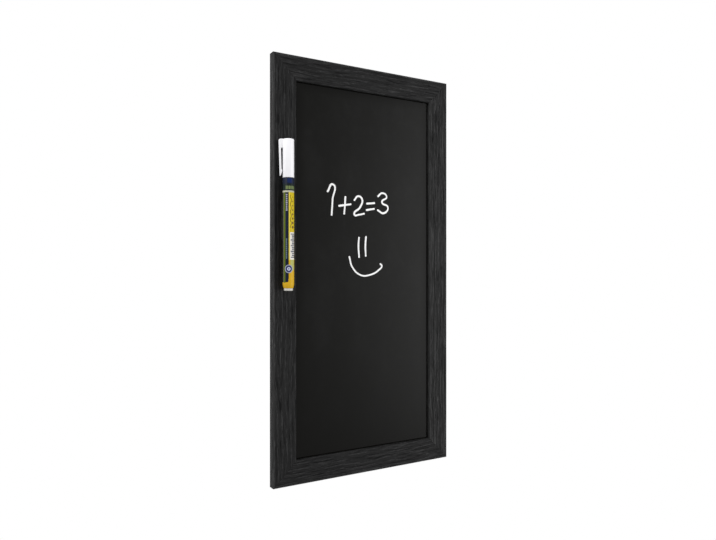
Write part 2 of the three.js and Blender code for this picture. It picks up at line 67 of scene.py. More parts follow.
# Places read from the frame.
STILE_LOW, STILE_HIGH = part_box("stile_left")
FRONT = STILE_LOW.y
BACK = STILE_HIGH.y
LEFT = STILE_LOW.x
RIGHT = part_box("stile_right")[1].x
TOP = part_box("rail_top")[1].z
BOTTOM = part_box("rail_bottom")[0].z
MIDDLE = Vector(((LEFT + RIGHT) / 2, FRONT, (TOP + BOTTOM) / 2))
FACE_WIDTH = STILE_HIGH.x - STILE_LOW.x
FRAME_DEPTH = BACK - FRONT
PANEL_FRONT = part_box("writing_panel")[0].y
PANEL_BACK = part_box("writing_panel")[1].y
LIP_DEPTH = PANEL_FRONT - FRONT - 0.05 * MM
BARREL_LOW, BARREL_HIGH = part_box("marker_barrel")
AXIS = Vector(((BARREL_LOW.x + BARREL_HIGH.x) / 2, (BARREL_LOW.y + BARREL_HIGH.y) / 2, 0))
BARREL_RADIUS = (BARREL_HIGH.x - BARREL_LOW.x) / 2
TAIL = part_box("end_plug")[0].z


def span(node):
    """The lowest and highest place of a part of the marker, in millimetres above the marker's tail."""
    low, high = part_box(node)
    return (low.z - TAIL) / MM, (high.z - TAIL) / MM


# The marker's sizes, in millimetres.
BARREL = BARREL_RADIUS / MM
NECK = BARREL - 1.1
BARREL_FOOT, NECK_TOP = span("marker_barrel")
CAP_MOUTH, CAP_TOP = span("marker_cap")
SHOULDER = CAP_MOUTH - 0.25
CLIP_TURN = 24.4  # degrees from the left towards the wall
LABEL_TURN = 2 * math.pi * BARREL  # once round the barrel
LABEL_RISE = 150.0  # height that the label's map covers
STEPS = 96  # facets round a turned piece

# Tones and gloss that only one material has.
PORE = (0.0025, 0.0025, 0.0026)
CHALK_DUST = (0.018, 0.018, 0.018)
DARK_FIBRE = (0.075, 0.04, 0.02)
STILE_GLOSS = 0.094
# The rails' lower gloss is painted shade: it makes them darker than the stiles.
RAIL_SHADED_GLOSS = 0.083
COAT = 0.186  # weight of the lacquer's shine
HANDLED_AND_LIT = 0.16  # share of that shine that handling brought, fading near the lip and towards the foot as painted shade
COAT_ROUGHNESS = 0.352


def size_setting(label, description, default):
    return FloatProperty(name=label, description=description, default=default, unit="LENGTH")


def colour_setting(label, description, default):
    return FloatVectorProperty(name=label, description=description, default=default, subtype="COLOR")


class FrameSettings(bpy.types.PropertyGroup):
    """Sizes and colours of the frame."""

    lip: size_setting("Lip", "Depth of the lip in front of the panel", LIP_DEPTH)
    rabbet: size_setting("Rabbet", "How far the lip covers the panel", 6 * MM)
    outer_round: size_setting("Outer round", "Round on the outer front edge", 1.2 * MM)
    inner_round: size_setting("Inner round", "Round at the opening", 1.8 * MM)
    mitre_gap: size_setting("Mitre gap", "Open joint of a mitre", 0.12 * MM)
    column: size_setting("Column", "Width of one strip of the face", 0.4 * MM)
    station: size_setting("Station", "Length of one strip of the face", 2.5 * MM)
    groove: size_setting("Groove", "Depth of the grain's grooves", 0.14 * MM)
    wood: colour_setting("Wood", "Colour of the stain", (0.0105, 0.0105, 0.0106))
    streak: colour_setting("Streak", "Colour of the grain's pale strokes", (0.03, 0.03, 0.0305))
    # The worn edge colour is laid on as thin stain and as painted highlight on the rounds and the lip, and
    # as painted light on the outer side.
    wear_and_highlight: colour_setting("Worn edge", "Colour where the stain is thin on an edge", (0.062, 0.062, 0.062))


class PanelSettings(bpy.types.PropertyGroup):
    """Colours of the writing panel, and colour and sizes of what is written on it."""

    lacquer: colour_setting("Lacquer", "Colour of the writing face", (0.0021, 0.002, 0.0015))
    board: colour_setting("Hardboard", "Colour of the bare back", (0.17, 0.095, 0.05))
    ink: colour_setting("Ink", "Colour of the chalk ink", (0.95, 0.95, 0.95))
    sum_stroke: size_setting("Sum stroke", "Width of the sum's lines", 2.0 * MM)
    smile_stroke: size_setting("Smile stroke", "Width of the smile's lines", 1.9 * MM)
    film: size_setting("Film", "Thickness of the dried ink", 0.12 * MM)


class MarkerSettings(bpy.types.PropertyGroup):
    """Colours of the marker."""

    cap: colour_setting("Cap", "Colour of the moulded cap", (0.88, 0.875, 0.9))
    yellow: colour_setting("Yellow", "Upper colour of the label", (0.55, 0.42, 0.009))
    orange: colour_setting("Orange", "Lower colour of the label", (0.6, 0.36, 0.016))
    navy: colour_setting("Navy", "Colour of the label's dark fields", (0.005, 0.009, 0.026))
    green: colour_setting("Green", "Colour of the label's stripe", (0.09, 0.125, 0.006))
    pale: colour_setting("Pale", "Colour of the label's pale marks", (0.74, 0.71, 0.65))


class FixingSettings(bpy.types.PropertyGroup):
    """Sizes and colours of the hanger, the points and the other small parts."""

    sheet: size_setting("Sheet", "Thickness of the hanger", 0.9 * MM)
    ear: size_setting("Ear", "Length of the hanger's flat ends", 8 * MM)
    ramp: size_setting("Ramp", "Length of the hanger's bends", 2 * MM)
    pitch: size_setting("Pitch", "From tooth to tooth", 3.2 * MM)
    depth: size_setting("Tooth depth", "Depth of a notch", 1.8 * MM)
    flat: size_setting("Tooth tip", "Flat end of a tooth", 0.6 * MM)
    teeth: IntProperty(name="Notches", description="Number of notches", default=7, min=1)
    zinc: colour_setting("Zinc", "Colour of the plated steel", (0.56, 0.57, 0.58))
    rubber: colour_setting("Rubber", "Colour of the bumpers", (0.012, 0.012, 0.012))


class StageSettings(bpy.types.PropertyGroup):
    """The camera and the light."""

    azimuth: FloatProperty(
        name="Azimuth",
        description="Camera's place round the board",
        default=math.radians(-30.58),
        subtype="ANGLE",
    )
    distance: size_setting("Distance", "From the camera to what it looks at", 628.4 * MM)
    aim: FloatVectorProperty(
        name="Aim",
        description="Where the camera looks, from the middle of the front",
        default=(-10.53 * MM, 0, 0.28 * MM),
        subtype="TRANSLATION",
    )
    focal: FloatProperty(name="Focal length", description="In pixels of the photograph", default=639.3)
    daylight: FloatProperty(name="Daylight", description="Strength of the even light", default=0.7)
    key_power: FloatProperty(name="Key", description="Lamp on the right", default=7.35, unit="POWER")
    side_power: FloatProperty(name="Side", description="Lamp on the left", default=4.1, unit="POWER")
    floor_drop: size_setting("Floor", "From the board's foot down to the floor", 1.1)


# Node trees. A socket given to these helpers is linked, and anything else is set as a value. Colours
# are given by their three channels.


def feed(tree, node, feeds):
    for key, value in feeds.items():
        socket = node.inputs[key]
        if isinstance(value, bpy.types.NodeSocket):
            tree.links.new(value, socket)
        else:
            socket.default_value = (*value, 1.0) if socket.type == "RGBA" else value


def put(tree, kind, feeds=None, **settings):
    """Adds a node with its settings and what goes into its sockets."""
    made = tree.nodes.new(kind)
    for name, value in settings.items():
        setattr(made, name, value)
    feed(tree, made, feeds or {})
    return made


def calc(tree, operation, *values, clamp=False):
    feeds = dict(enumerate(values))
    return put(tree, "ShaderNodeMath", feeds, operation=operation, use_clamp=clamp).outputs[0]


def plus(tree, *values, clamp=False):
    return calc(tree, "ADD", *values, clamp=clamp)


def minus(tree, *values):
    return calc(tree, "SUBTRACT", *values)


def times(tree, *values):
    return calc(tree, "MULTIPLY", *values)


def vector_calc(tree, operation, *values, scale=None):
    feeds = dict(enumerate(values))
    if scale is not None:
        feeds["Scale"] = scale
    made = put(tree, "ShaderNodeVectorMath", feeds, operation=operation)
    return made.outputs["Value" if operation == "LENGTH" else "Vector"]


def apart(tree, vector):
    return put(tree, "ShaderNodeSeparateXYZ", {0: vector}).outputs


def joined(tree, *parts):
    return put(tree, "ShaderNodeCombineXYZ", dict(enumerate(parts))).outputs[0]


def blend_colour(tree, factor, below, above):
    return put(tree, "ShaderNodeMix", {0: factor, 6: below, 7: above}, data_type="RGBA").outputs[2]


def ramp(tree, value, low, high):
    feeds = {"Value": value, "From Min": low, "From Max": high}
    return put(tree, "ShaderNodeMapRange", feeds, interpolation_type="SMOOTHSTEP").outputs["Result"]


def noise_value(tree, vector, scale, detail=2.0, roughness=0.5):
    feeds = {"Vector": vector, "Scale": scale, "Detail": detail, "Roughness": roughness}
    return put(tree, "ShaderNodeTexNoise", feeds).outputs[0]


def new_group(name, inputs, outputs):
    """A shader node group, what it is given and its output node. An input without a default is a vector."""
    tree = bpy.data.node_groups.new(name, "ShaderNodeTree")
    for label, default in inputs.items():
        kind = "NodeSocketVector" if default is None else "NodeSocketFloat"
        socket = tree.interface.new_socket(name=label, in_out="INPUT", socket_type=kind)
        if default is not None:
            socket.default_value = default
    for label in outputs:
        tree.interface.new_socket(name=label, in_out="OUTPUT", socket_type="NodeSocketFloat")
    return tree, tree.nodes.new("NodeGroupInput").outputs, tree.nodes.new("NodeGroupOutput")


def wood_grain(name):
    """Open grain that runs along Z: wavy rings, short pale strokes that crowd in them, thin pale lines
    and dark pores. Widths and lengths are in millimetres."""
    sizes = {"Stroke Width": 0.8, "Stroke Length": 18.0, "Ring Width": 4.2, "Waviness": 9.0}
    inputs = {"Vector": None, **sizes, "Strokes": 1.0, "Lines": 0.5}
    tree, given, result = new_group(name, inputs, ["Pale", "Dark", "Height", "Lines"])
    place = vector_calc(tree, "SCALE", given["Vector"], scale=1.0 / MM)
    wave = noise_value(tree, vector_calc(tree, "MULTIPLY", place, (0.03, 0.03, 0.014)), 1.0, 2.0, 0.4)
    parts = apart(tree, place)
    across = plus(tree, parts[0], times(tree, wave, given["Waviness"]))
    thin = calc(tree, "DIVIDE", 1.0, given["Stroke Width"])
    long = calc(tree, "DIVIDE", 1.0, given["Stroke Length"])
    bent = joined(tree, across, parts[1], parts[2])
    fibres = vector_calc(tree, "MULTIPLY", bent, joined(tree, thin, thin, long))
    long_strokes = noise_value(tree, fibres, 0.8, 3.0, 0.65)
    short_strokes = noise_value(tree, vector_calc(tree, "MULTIPLY", fibres, (1.5, 1.5, 4.0)), 0.8, 2.0, 0.6)
    mixed = times(tree, minus(tree, short_strokes, 0.5), 0.45)
    strokes = plus(tree, long_strokes, mixed)
    pores = noise_value(tree, vector_calc(tree, "ADD", fibres, (41.0, 17.0, 5.0)), 0.9, 2.0, 0.6)
    turns = calc(tree, "DIVIDE", plus(tree, across, parts[1]), given["Ring Width"])
    rings = ramp(tree, calc(tree, "SINE", times(tree, turns, 2 * math.pi)), -0.2, 0.95)
    crowded = plus(tree, times(tree, rings, 0.1), strokes)
    lines = noise_value(tree, vector_calc(tree, "MULTIPLY", fibres, (1.1, 1.1, 0.4)), 0.8, 1.0, 0.5)
    thin_lines = times(tree, ramp(tree, lines, 0.61, 0.69), given["Lines"])
    pale = times(tree, ramp(tree, crowded, 0.54, 0.74), given["Strokes"])
    dark = ramp(tree, pores, 0.5, 0.66)
    height = minus(tree, pale, dark)
    feed(tree, result, {"Pale": pale, "Dark": dark, "Height": height, "Lines": thin_lines})
    return tree


def fine_finish(name):
    """The small unevenness of a made surface: grain in its gloss, a fine height and soft blotches."""
    inputs = {"Vector": None, "Size": 1.0, "Roughness": 0.5, "Spread": 0.1}
    tree, given, result = new_group(name, inputs, ["Roughness", "Height", "Blotch"])
    scale = calc(tree, "DIVIDE", 1.0 / MM, given["Size"])
    fine = noise_value(tree, given["Vector"], scale, 3.0, 0.6)
    broad = noise_value(tree, given["Vector"], times(tree, scale, 0.06), 2.0, 0.5)
    both = plus(tree, times(tree, fine, 0.5), times(tree, broad, 0.5))
    shift = times(tree, minus(tree, both, 0.5), given["Spread"])
    rough = plus(tree, given["Roughness"], shift, clamp=True)
    feed(tree, result, {"Roughness": rough, "Height": fine, "Blotch": broad})
    return tree


def print_mark(name):
    """A rounded oblong printed on the label. Sizes are in millimetres."""
    inputs = {"Place": None, "Centre": None, "Half Size": None, "Corner": 0.1}
    tree, given, result = new_group(name, inputs, ["Mask"])
    away = vector_calc(tree, "ABSOLUTE", vector_calc(tree, "SUBTRACT", given["Place"], given["Centre"]))
    core = vector_calc(tree, "SUBTRACT", given["Half Size"], joined(tree, given["Corner"], given["Corner"]))
    outside = vector_calc(tree, "MAXIMUM", vector_calc(tree, "SUBTRACT", away, core), (0, 0, 0))
    edge = minus(tree, vector_calc(tree, "LENGTH", outside), given["Corner"])
    feed(tree, result, {"Mask": ramp(tree, edge, 0.04, -0.04)})
    return tree


def use_group(tree, builder, feeds):
    """Places a shared node group, named like its builder. The first material that needs it builds it."""
    name = builder.__name__
    shared = bpy.data.node_groups.get(name) or builder(name)
    return put(tree, "ShaderNodeGroup", feeds, node_tree=shared).outputs


def finish_of(tree, place, size, roughness, spread):
    feeds = {"Vector": place, "Size": size, "Roughness": roughness, "Spread": spread}
    return use_group(tree, fine_finish, feeds)


# Materials.


def new_material(name, colour, roughness, **constants):
    """A material and its tree, shader and object coordinates. Constants go on the shader's sockets."""
    material = bpy.data.materials.new(name)
    material.use_nodes = True
    tree = material.node_tree
    shader = tree.nodes["Principled BSDF"]
    feed(tree, shader, {"Base Color": colour, "Roughness": roughness})
    feed(tree, shader, {key.replace("_", " "): value for key, value in constants.items()})
    place = tree.nodes.new("ShaderNodeTexCoord").outputs["Object"]
    return material, tree, shader, place


def add_bump(tree, shader, height, distance):
    feeds = {"Height": height, "Distance": distance, "Strength": 1.0}
    feed(tree, shader, {"Normal": put(tree, "ShaderNodeBump", feeds).outputs[0]})


def finished_surface(name, colour, roughness, size, spread, bump, tint=0.06, **constants):
    """A plain material whose gloss, height and tone are slightly uneven."""
    material, tree, shader, place = new_material(name, colour, roughness, **constants)
    finish = finish_of(tree, place, size, roughness, spread)
    darker = [channel * (1 - tint) for channel in colour]
    toned = blend_colour(tree, finish["Blotch"], colour, darker)
    feed(tree, shader, {"Base Color": toned, "Roughness": finish["Roughness"]})
    add_bump(tree, shader, finish["Height"], bump)
    return material


def black_wood(settings, name, level, strokes, lines):
    """Black stained open-grain wood, whose grain runs upright or, on a rail, level. Strokes and lines
    say how strongly its pale strokes and its thin pale lines show."""
    # A rail takes the lower gloss, as painted shade.
    gloss = RAIL_SHADED_GLOSS if level else STILE_GLOSS
    material, tree, shader, place = new_material(name, settings.wood, 0.58, Specular_IOR_Level=gloss)
    rotation = (0, math.pi / 2 if level else 0, 0)
    # The rails are cut from another part of the grain.
    shift = (0.31 if level else 0.0, 0.0, 0.07)
    laid = put(tree, "ShaderNodeMapping", {"Vector": place, "Location": shift, "Rotation": rotation})
    feeds = {"Vector": laid.outputs[0], "Strokes": strokes, "Lines": lines}
    grain = use_group(tree, wood_grain, feeds)
    groove = put(tree, "ShaderNodeAttribute", attribute_name="groove").outputs["Fac"]
    edge = put(tree, "ShaderNodeAttribute", attribute_name="edge").outputs["Fac"]
    dark = calc(tree, "MAXIMUM", times(tree, grain["Dark"], 0.8), times(tree, groove, 0.7))
    stained = blend_colour(tree, dark, settings.wood, PORE)
    streaked = blend_colour(tree, grain["Pale"], stained, settings.streak)
    # The edge attribute lays the worn colour on: thin stain and painted highlight on the rounds, painted
    # highlight on the lip and painted light on the outer side. The grain's thin pale lines take the same
    # colour.
    wear_and_highlight = times(tree, edge, plus(tree, 0.35, times(tree, grain["Pale"], 0.65)))
    pale_lines_and_highlight = calc(tree, "MAXIMUM", wear_and_highlight, grain["Lines"])
    colour = blend_colour(tree, pale_lines_and_highlight, streaked, settings.wear_and_highlight)
    rough = minus(tree, 0.56, times(tree, grain["Height"], 0.3))
    feed(tree, shader, {"Base Color": colour, "Roughness": rough})
    add_bump(tree, shader, grain["Height"], 0.11 * MM)
    return material


def chalk_lacquer(settings):
    """Black chalk lacquer in front, on hardboard whose bare back keeps the press's mesh."""
    constants = {"Specular_IOR_Level": 0.0, "Coat_Roughness": COAT_ROUGHNESS}
    material, tree, shader, place = new_material("chalk_lacquer", settings.lacquer, 0.5, **constants)
    parts = apart(tree, place)
    behind = ramp(tree, parts[1], PANEL_BACK - 0.7 * MM, PANEL_BACK - 0.6 * MM)
    finish = finish_of(tree, place, 0.35, 0.38, 0.1)
    # Wiped dust shows away from the lip and less towards the foot, and there the lacquer is a little
    # shinier;
    # the fading near the lip and towards the foot is painted shade. In the corner under the lip it has no
    # shine, a painted contact shadow.
    wiped = noise_value(tree, vector_calc(tree, "MULTIPLY", place, (30.0, 30.0, 16.0)), 1.0, 3.0, 0.6)
    speck = times(tree, ramp(tree, finish["Blotch"], 0.5, 0.8), 0.08)
    dust = plus(tree, speck, times(tree, ramp(tree, wiped, 0.42, 0.72), 0.16))
    offset = vector_calc(tree, "ABSOLUTE", vector_calc(tree, "SUBTRACT", place, tuple(MIDDLE)))
    sides = apart(tree, offset)
    from_sides = minus(tree, (RIGHT - LEFT) / 2 - FACE_WIDTH, sides[0])
    from_rails = minus(tree, (TOP - BOTTOM) / 2 - FACE_WIDTH, sides[2])
    from_lip = calc(tree, "MINIMUM", from_sides, from_rails)
    handled_and_lit = times(tree, ramp(tree, from_lip, 0.0, 12 * MM), ramp(tree, parts[2], BOTTOM, MIDDLE.z))
    dust_and_shade = times(tree, dust, handled_and_lit)
    black = blend_colour(tree, dust_and_shade, settings.lacquer, CHALK_DUST)
    # No shine in a narrow band along the lip: a painted contact shadow.
    crevice_shade = ramp(tree, from_lip, 0.3 * MM, 1.3 * MM)
    shine_and_shade = plus(tree, (1 - HANDLED_AND_LIT) * COAT, times(tree, handled_and_lit, HANDLED_AND_LIT * COAT))
    lacquer_and_crevice_shade = times(tree, crevice_shade, minus(tree, 1.0, behind))
    # The bare back: short fibres, and the weave of the press's mesh.
    fibres = noise_value(tree, place, 900.0, 4.0, 0.7)
    brown = blend_colour(tree, ramp(tree, fibres, 0.35, 0.7), settings.board, DARK_FIBRE)
    waves = [calc(tree, "SINE", times(tree, parts[i], 2 * math.pi / (1.3 * MM))) for i in (0, 2)]
    weave = times(tree, *waves)
    mesh = times(tree, plus(tree, weave, fibres), behind)
    feeds = {
        "Base Color": blend_colour(tree, behind, black, brown),
        "Roughness": plus(tree, finish["Roughness"], times(tree, behind, 0.4), clamp=True),
        "Coat Weight": times(tree, lacquer_and_crevice_shade, shine_and_shade),
    }
    feed(tree, shader, feeds)
    face = times(tree, finish["Height"], 0.12)
    add_bump(tree, shader, plus(tree, mesh, face), 0.06 * MM)
    return material


def chalk_ink(settings):
    """Dried chalk ink: matt and slightly thin where the nib ran dry."""
    material, tree, shader, place = new_material("chalk_ink", settings.ink, 0.85, Specular_IOR_Level=0.3)
    thin = ramp(tree, noise_value(tree, place, 1400.0, 3.0, 0.7), 0.3, 0.62)
    grey = [0.88 * channel for channel in settings.ink]
    feed(tree, shader, {"Base Color": blend_colour(tree, thin, grey, settings.ink)})
    add_bump(tree, shader, thin, 0.04 * MM)
    return material


def label_marks(settings, swung):
    """The label's printed marks, in the order in which they cover each other. Each has its colour, its
    turn round the barrel in degrees from the board's front, its height, width, length and corner radius
    in millimetres, and a wavy place where it is drawn along a wave."""
    dark = [0.25 * channel for channel in settings.navy]
    low, high = 7.8, 89.3
    middle, tall = (low + high) / 2, high - low
    brown, light_brown, slate = (0.13, 0.08, 0.01), (0.15, 0.085, 0.01), (0.15, 0.155, 0.18)
    # The dark field with its pale line, its green stripe and its two scales of ticks.
    marks = [
        (settings.navy, -65.0, middle + 5, 7.55, tall + 10, 1.2),
        (dark, -96.0, middle + 5, 5.5, tall + 10, 1.2),
        ((0.16, 0.14, 0.12), -87.0, middle, 0.8, tall),
        (settings.green, -67.2, middle, 2.1, tall + 1),
        (dark, -25.4, middle + 3, 0.85, tall),
    ]
    marks += [((0.36, 0.35, 0.41), -42.0, 87.1 - 1.75 * i, 1.3 if i % 4 else 1.6, 1.15) for i in range(9)]
    marks += [((0.13, 0.18, 0.21), -43.5, 46.8 - 1.7 * i, 1.2, 1.2) for i in range(11)]
    # The yellow field: a light stripe, a wavy line, and dots that grow as a written line's width does.
    marks.append(((0.66, 0.54, 0.09), -15.6, middle + 10, 0.95, tall - 20))
    marks.append((brown, 2.0, 72.0, 0.6, 30.0, 0.25, swung))
    for index in range(8):
        size = 1.0 + 0.22 * index
        marks.append((light_brown, 25.0, 85.0 - 3.9 * index, size, size, size / 2))
    # The pale field with its ruled lines.
    marks.append((settings.pale, 24.0, 40.7, 6.0, 24.8, 0.6))
    for row in range(13):
        long = 3.9 if row % 3 else 4.9
        marks.append((slate, 54.0 - 5.5 * long, 51.4 - 1.75 * row, long, 1.1 + 0.35 * (row % 2)))
    # The light green field at the label's foot, with the target beside it.
    marks.append(((0.4, 0.41, 0.12), 21.5, 23.4, 4.8, 9.8, 0.6))
    blue_outline, target_blue, centre_white = (0.33, 0.35, 0.45), (0.03, 0.037, 0.11), (0.5, 0.54, 0.7)
    for paint, size in ((blue_outline, 7.6), (target_blue, 6.2), (centre_white, 3.2), (settings.navy, 1.2)):
        marks.append((paint, -20.0, 19.9, size, size, size / 2))
    return marks


def printed_film(settings):
    """The marker's printed sleeve. U runs once round the barrel and V up it."""
    gloss = {"Specular_IOR_Level": 0.12}
    material, tree, shader, place = new_material("printed_film", settings.yellow, 0.3, **gloss)
    label = put(tree, "ShaderNodeUVMap", uv_map="label").outputs[0]
    spot = vector_calc(tree, "MULTIPLY", label, (LABEL_TURN, LABEL_RISE, 0.0))
    height = apart(tree, spot)[1]
    swing = times(tree, calc(tree, "SINE", times(tree, height, 0.9)), 0.7)
    swung = vector_calc(tree, "ADD", spot, joined(tree, swing))
    fade = ramp(tree, height, 62.0, 10.0)
    colour = blend_colour(tree, fade, settings.yellow, settings.orange)

    def mark(below, paint, turn, rise, width, tall, corner=0.1, at=spot):
        centre = (LABEL_TURN * (0.5 + turn / 360), rise, 0)
        feeds = {"Place": at, "Centre": centre, "Half Size": (width / 2, tall / 2, 0), "Corner": corner}
        return blend_colour(tree, use_group(tree, print_mark, feeds)["Mask"], below, paint)

    def band(below, start, paint):
        return blend_colour(tree, ramp(tree, height, start - 0.04, start + 0.04), below, paint)

    for where in label_marks(settings, swung):
        colour = mark(colour, *where)
    # The white ring, the dark collar above it with its row of leaves, and the blue band.
    ring_low, ring_high, band_low = 89.3, 90.9, 97.1
    colour = band(colour, ring_low, (0.44, 0.43, 0.33))
    colour = band(colour, ring_high, (0.006, 0.012, 0.012))
    for index in range(8):
        colour = mark(colour, (0.17, 0.22, 0.08), 16.0 * index - 46, 93.6, 0.95, 3.2, 0.45)
    colour = band(colour, band_low, settings.navy)
    colour = band(colour, SHOULDER, settings.cap)
    # The lighter blue patch on the blue band is a painted glint of the key lamp.
    colour = mark(colour, (0.005, 0.015, 0.075), -10.0, (band_low + SHOULDER) / 2, 4.6, 4.2, 1.2)
    finish = finish_of(tree, place, 0.8, 0.3, 0.12)
    feed(tree, shader, {"Base Color": colour, "Roughness": finish["Roughness"]})
    add_bump(tree, shader, finish["Height"], 0.008 * MM)
    return material


# Meshes.


def merge_points(bm):
    """Merges doubled points and takes away edges and faces without size."""
    bmesh.ops.remove_doubles(bm, verts=bm.verts, dist=MERGED)
    bmesh.ops.dissolve_degenerate(bm, dist=MERGED, edges=bm.edges)


def face_outwards(bm):
    """Turns every face outwards. Each connected shell is turned round if its volume comes out negative."""
    bmesh.ops.recalc_face_normals(bm, faces=bm.faces)
    bm.normal_update()
    left = set(bm.faces)
    while left:
        shell, stack = [], [left.pop()]
        while stack:
            face = stack.pop()
            shell.append(face)
            beside = {other for edge in face.edges for other in edge.link_faces} & left
            left -= beside
            stack += beside
        start = shell[0].verts[0].co
        volume = sum(
            (face.calc_center_median() - start).dot(face.normal) * face.calc_area() for face in shell
        )
        if volume < 0:
            bmesh.ops.reverse_faces(bm, faces=shell)


def new_piece(bm, name, body, material, replaced=(), sharp=35.0):
    """Makes a finished bmesh an object at the origin, which rides on its body."""
    merge_points(bm)
    face_outwards(bm)
    mesh = bpy.data.meshes.new(name)
    bm.to_mesh(mesh)
    bm.free()
    mesh.shade_smooth()
    mesh.set_sharp_from_angle(angle=math.radians(sharp))
    mesh.materials.append(material)
    piece = bpy.data.objects.new(name, mesh)
    bpy.context.scene.collection.objects.link(piece)
    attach(piece, body)
    if replaced:
        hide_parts(*replaced)
    return piece


def finish_node(name, material):
    """Gives a CAD node that stays its material."""
    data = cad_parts[name].data
    data.materials.clear()
    data.materials.append(material)


def wire(bm, points, closed=True):
    """Vertices at the points, joined by edges."""
    verts = [bm.verts.new(point) for point in points]
    for pair in list(zip(verts, verts[1:])) + ([(verts[-1], verts[0])] if closed else []):
        bm.edges.new(pair)
    return verts


def flat_shape(points):
    """A bmesh with one flat face inside the points, and its corners."""
    bm = bmesh.new()
    verts = wire(bm, points)
    bm.faces.new(verts)
    return bm, verts


def bevel(bm, geom, width, segments, affect):
    bmesh.ops.bevel(
        bm, geom=geom, offset=width, offset_type="OFFSET", segments=segments, profile=0.5,
        affect=affect, material=-1, clamp_overlap=True,
    )


def bevel_sharp(bm, degrees, width, segments=2):
    """Bevels the edges at which the surface turns by more than the angle."""
    limit = math.radians(degrees)
    edges = [edge for edge in bm.edges if len(edge.link_faces) == 2 and edge.calc_face_angle(0.0) > limit]
    bevel(bm, edges, width, segments, "EDGES")


def round_corners(bm, verts, radius, segments=4):
    """Rounds corners of a flat outline."""
    bevel(bm, verts, radius, segments, "VERTICES")


def thicken(bm, sheet):
    """Gives a flat shape its thickness along Y."""
    made = bmesh.ops.extrude_face_region(bm, geom=list(bm.faces))
    moved = [item for item in made["geom"] if isinstance(item, bmesh.types.BMVert)]
    bmesh.ops.translate(bm, verts=moved, vec=(0, sheet, 0))
    bmesh.ops.recalc_face_normals(bm, faces=bm.faces)


def sweep(bm, geom, centre, axis, steps, angle=0.0, rise=(0, 0, 0), merge=False):
    """Draws geometry round an axis, along it, or both."""
    bmesh.ops.spin(
        bm, geom=geom, cent=centre, axis=axis, dvec=rise, angle=angle, steps=steps,
        use_merge=merge, use_duplicate=False,
    )


def turned(profile, centre, closed=True, steps=STEPS, axis=(0, 0, 1), rounds=None):
    """A bmesh of a piece turned round an axis, from (radius, height) points along its section. Rounds
    gives the radius of the section's corners that are rounded, by their place in the profile."""
    bm = bmesh.new()
    along = Vector(axis)
    outward = Vector((1, 0, 0))
    verts = wire(bm, [centre + outward * radius + along * height for radius, height in profile], closed)
    for index, radius in (rounds or {}).items():
        round_corners(bm, [verts[index]], radius)
    sweep(bm, [*bm.verts, *bm.edges], centre, axis, steps, angle=2 * math.pi, merge=True)
    merge_points(bm)
    bmesh.ops.recalc_face_normals(bm, faces=bm.faces)
    return bm


def turned_fixing(node, profile, steps):
    """A fixing of the back, turned on the line through the middle of its node towards the wall."""
    low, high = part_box(node)
    centre = Vector(((low.x + high.x) / 2, 0, (low.z + high.z) / 2))
    return turned(profile, centre, closed=False, steps=steps, axis=(0, 1, 0))


def map_label(bm):
    """Lays the label's map: U once round the marker's axis, from the wall side, and V up it."""
    layer = bm.loops.layers.uv.new("label")
    for face in bm.faces:
        middle = face.calc_center_median() - AXIS
        near = math.atan2(middle.x, -middle.y)
        for loop in face.loops:
            away = loop.vert.co - AXIS
            angle = math.atan2(away.x, -away.y)
            angle += 2 * math.pi * round((near - angle) / (2 * math.pi))
            rise = (loop.vert.co.z - TAIL) / (LABEL_RISE * MM)
            loop[layer].uv = (angle / (2 * math.pi) + 0.5, rise)


# Frame.


def moulding_section(settings):
    """The moulding's section as a closed wire: x from the outer edge, y from the front. Its corners
    are rounded, and its face, outer side and lip are divided into strips."""
    bm = bmesh.new()
    back_width = FACE_WIDTH - settings.rabbet
    ease = 0.5 * MM
    corners = [
        (ease, FRAME_DEPTH), (0, FRAME_DEPTH - ease), (0, 0), (FACE_WIDTH, 0), (FACE_WIDTH, settings.lip),
        (back_width, settings.lip), (back_width, FRAME_DEPTH),
    ]
    verts = wire(bm, [(x, y, 0) for x, y in corners])
    outer, inner = verts[2], verts[3]
    round_corners(bm, [outer], settings.outer_round)
    round_corners(bm, [inner], settings.inner_round)
    for edge in list(bm.edges):
        in_front = all(vert.co.y < settings.lip + 0.1 * MM for vert in edge.verts)
        on_side = all(vert.co.x < 0.01 * MM for vert in edge.verts)
        cuts = round(edge.calc_length() / settings.column) - 1
        if (in_front or on_side) and cuts > 0:
            bmesh.ops.subdivide_edges(bm, edges=[edge], cuts=cuts)
    return bm


def groove_depth(across, depth, along, seed):
    """How deep the grain lies at a point of the moulding, from 0 to 1."""
    fine = noise.noise(Vector((across / (0.62 * MM), depth / (0.8 * MM) + seed, along / (17 * MM))))
    long = noise.noise(Vector((across / (1.9 * MM), depth / (1.2 * MM) + 7 * seed, along / (46 * MM))))
    return min(1.0, max(0.0, 0.9 * fine + 0.75 * long))


